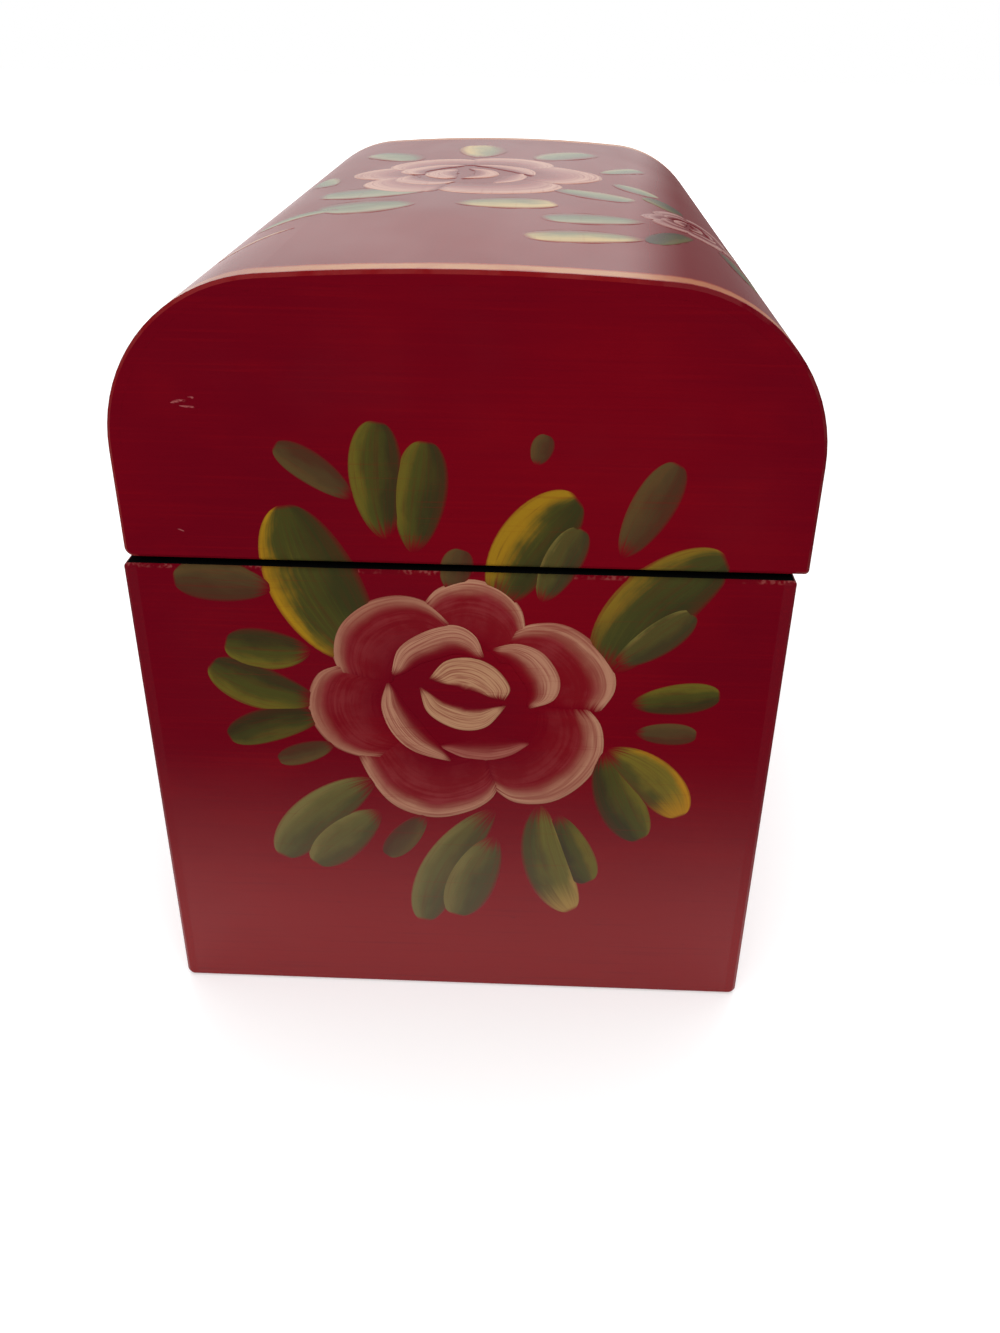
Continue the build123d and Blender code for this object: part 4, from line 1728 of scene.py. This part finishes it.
@dataclass
class Studio:
    """A pale floor, soft lamps, a pale surround and the camera. Here lengths are
    metres."""

    floor_reach: float = 4.0
    floor_colour: Colour = (0.86, 0.86, 0.86)
    floor_glow: float = 0.27
    surround: float = 0.5
    lamps: tuple[Lamp, ...] = (
        Lamp("key", (-1.0, -0.15, 1.1), 1.1, 8.7),
        Lamp("fill", (-1.0, 0.9, 0.6), 1.1, 4.0),
        Lamp("top", (0.5, 0.0, 1.6), 1.4, 16.0),
    )
    camera_place: Place = (-0.3634576, -0.0166136, 0.2386248)
    camera_turn: Place = (60.2229, -0.7662, -87.9204)
    lens: float = 31.654

    def build(self) -> None:
        """Makes the floor, the world, the lamps and the camera."""
        self._floor()
        self._world()
        for lamp in self.lamps:
            lamp.build()
        self._camera()

    def _floor(self) -> None:
        """A flat square of floor, shown white to the camera and in reflections,
        and less so near the chest, where it keeps the shadow."""
        ends = np.array([[-1, -1, 0], [1, -1, 0], [1, 1, 0], [-1, 1, 0]], float)
        corners = ends * self.floor_reach / METRE
        floor = mesh_object("floor", corners, np.array([[0, 1, 2, 3]]))
        graph = Graph.of_material("floor_paper")
        x, y, _ = graph.parts(graph.place)
        away = (x * x + y * y).rise(0.1, 1.6)
        glow = graph.mix(away, (self.floor_glow,) * 3, (1.0, 1.0, 1.0))
        floor.data.materials.append(
            graph.surface(
                Base_Color=(*self.floor_colour, 1.0),
                Roughness=0.9,
                Specular_IOR_Level=0.0,
                Emission_Color=graph.mix(graph.seen(), (0.0, 0.0, 0.0), glow),
                Emission_Strength=1.0,
            )
        )

    def _world(self) -> None:
        """A pale surround: white where it is seen, plainer where it lights."""
        world = bpy.data.worlds.new("surround")
        bpy.context.scene.world = world
        graph = Graph(world)
        strength = graph.seen() * (1.0 - self.surround) + self.surround
        inputs = {"Color": (1.0, 1.0, 1.0, 1.0), "Strength": strength}
        background = graph.node("ShaderNodeBackground", {}, inputs)
        graph.node("ShaderNodeOutputWorld", {}, {"Surface": background.outputs[0]})

    def _camera(self) -> None:
        """Sets the camera where the photograph was taken from."""
        lens = bpy.data.cameras.new("camera")
        lens.lens = self.lens
        lens.sensor_width = 36.0
        lens.clip_start = 0.01
        holder = bpy.data.objects.new("camera", lens)
        holder.location = self.camera_place
        holder.rotation_euler = [math.radians(a) for a in self.camera_turn]
        bpy.context.scene.collection.objects.link(holder)
        bpy.context.scene.camera = holder
        bpy.context.scene.view_settings.view_transform = "Standard"


@dataclass
class Bouquets:
    """The bouquets on both ends and on the lid, and the scratches on the left."""

    both: tuple[str, ...] = ("base", "lid")
    outer: tuple[Palette, ...] = (
        Palette.PETAL, Palette.PETAL_SOFT, Palette.PETAL_WIDE, Palette.PETAL_DIM
    )
    inner: tuple[Palette, ...] = (Palette.PETAL_INNER, Palette.BUD)

    def build(self) -> list[Piece]:
        """Makes all four paintings.

        Returns:
            Their objects.
        """
        bouquet = END_LEAVES + END_ROSE
        panel = PaintBox(Lacquer(), "panel")
        dome = PaintBox(SkinLacquer(), "dome")
        on_top = dict.fromkeys(self.outer, Palette.TOP_PETAL)
        on_top |= dict.fromkeys(self.inner, Palette.TOP_INNER)
        on_side = dict.fromkeys(self.outer + self.inner, Palette.SIDE_PETAL)
        crown = [*LID_LEAVES, *moved(END_ROSE, LID_ROSE, on_top)]
        side = [*SIDE_LEAVES, *moved(END_ROSE, SIDE_ROSE, on_side)]
        left, right = EndPanel(-1.0), EndPanel(1.0)
        paintings = (
            Painting("end_roses_left", left, bouquet + SCRATCHES, self.both, panel),
            Painting("end_roses_right", right, bouquet, self.both, panel),
            Painting("crown_roses", LidSkin(), crown, ("lid",), dome),
            Painting("shoulder_roses", LidSkin(), side, ("lid",), dome),
        )
        return [piece for painting in paintings for piece in painting.build()]


@dataclass
class HingeScrews:
    """The two slotted screws in each leaf of both stop hinges."""

    hinge_x: float = 75.0
    half_pitch: float = 9.0
    from_back: float = 5.6
    screw: Fastener = Fastener(
        head_radius=1.6,
        head_height=0.2,
        shank_radius=0.9,
        length=9.0,
        slot_width=0.42,
        slot_depth=0.13,
    )

    def build(self) -> list[Piece]:
        """Makes the screws under the base leaves and over the lid leaves.

        Returns:
            Their objects.
        """
        steps = (-self.half_pitch, self.half_pitch)
        across = [side * self.hinge_x + step for side in (-1, 1) for step in steps]
        y = LID_BACK - self.from_back
        low = [(x, y, SEAM - LEAF_GAP / 2) for x in across]
        high = [(x, y, SEAM + LEAF_GAP / 2) for x in across]
        return [
            *FastenerSet("hinge_base_screws", self.screw, low, Facing.UP).build(),
            *FastenerSet("hinge_lid_screws", self.screw, high, Facing.DOWN).build(),
        ]


@dataclass
class LatchFasteners:
    """The rivet, the stud and the tacks of the swing hook latch, whose heads
    face the front."""

    plate_reach: float = 7.3
    catch_reach: float = 6.3
    tack: Fastener = Fastener(1.25, 0.22, 0.78, 3.6)
    rivet: Fastener = Fastener(2.4, 1.0, 1.3, 2.6)
    stud: Fastener = Fastener(2.3, 1.1, 1.2, 5.0)

    def build(self) -> list[Piece]:
        """Makes two tacks in each plate, the rivet and the stud.

        Returns:
            Their objects.
        """
        hook_x, hook_z = middle("hook_rivet")
        stud_x, stud_z = middle("catch_stud")
        plate_y, catch_y = span("hook_plate", 1)[0], span("catch_plate", 1)[0]
        rivet_y = span("hook_rivet", 1)[0] + self.rivet.head_height
        stud_y = span("catch_stud", 1)[0] + self.stud.head_height
        reach, catch = self.plate_reach, self.catch_reach
        on_plate = [(hook_x + side * reach, plate_y, hook_z) for side in (-1, 1)]
        on_catch = [(stud_x + side * catch, catch_y, stud_z) for side in (-1, 1)]
        sets = (
            ("hook_plate_tacks", self.tack, on_plate),
            ("catch_plate_tacks", self.tack, on_catch),
            ("hook_rivet", self.rivet, [(hook_x, rivet_y, hook_z)]),
            ("catch_stud", self.stud, [(stud_x, stud_y, stud_z)]),
        )
        made = [FastenerSet(*one, Facing.FRONT).build() for one in sets]
        return [piece for pieces in made for piece in pieces]


def main() -> None:
    """Builds the chest's looks, its stage and its camera."""
    logging.basicConfig(level=logging.INFO, format="%(name)s: %(message)s")
    Studio().build()
    CarriedSolids().dress(frame["nodes"])
    for group in (Bouquets(), HingeScrews(), LatchFasteners()):
        for piece in group.build():
            LOG.info("%s: %d faces", piece.name, len(piece.data.polygons))


def middle(node: str) -> Point:
    """The middle of a node along X and along Z."""
    return sum(span(node, 0)) / 2, sum(span(node, 2)) / 2


if __name__ == "__main__":
    main()
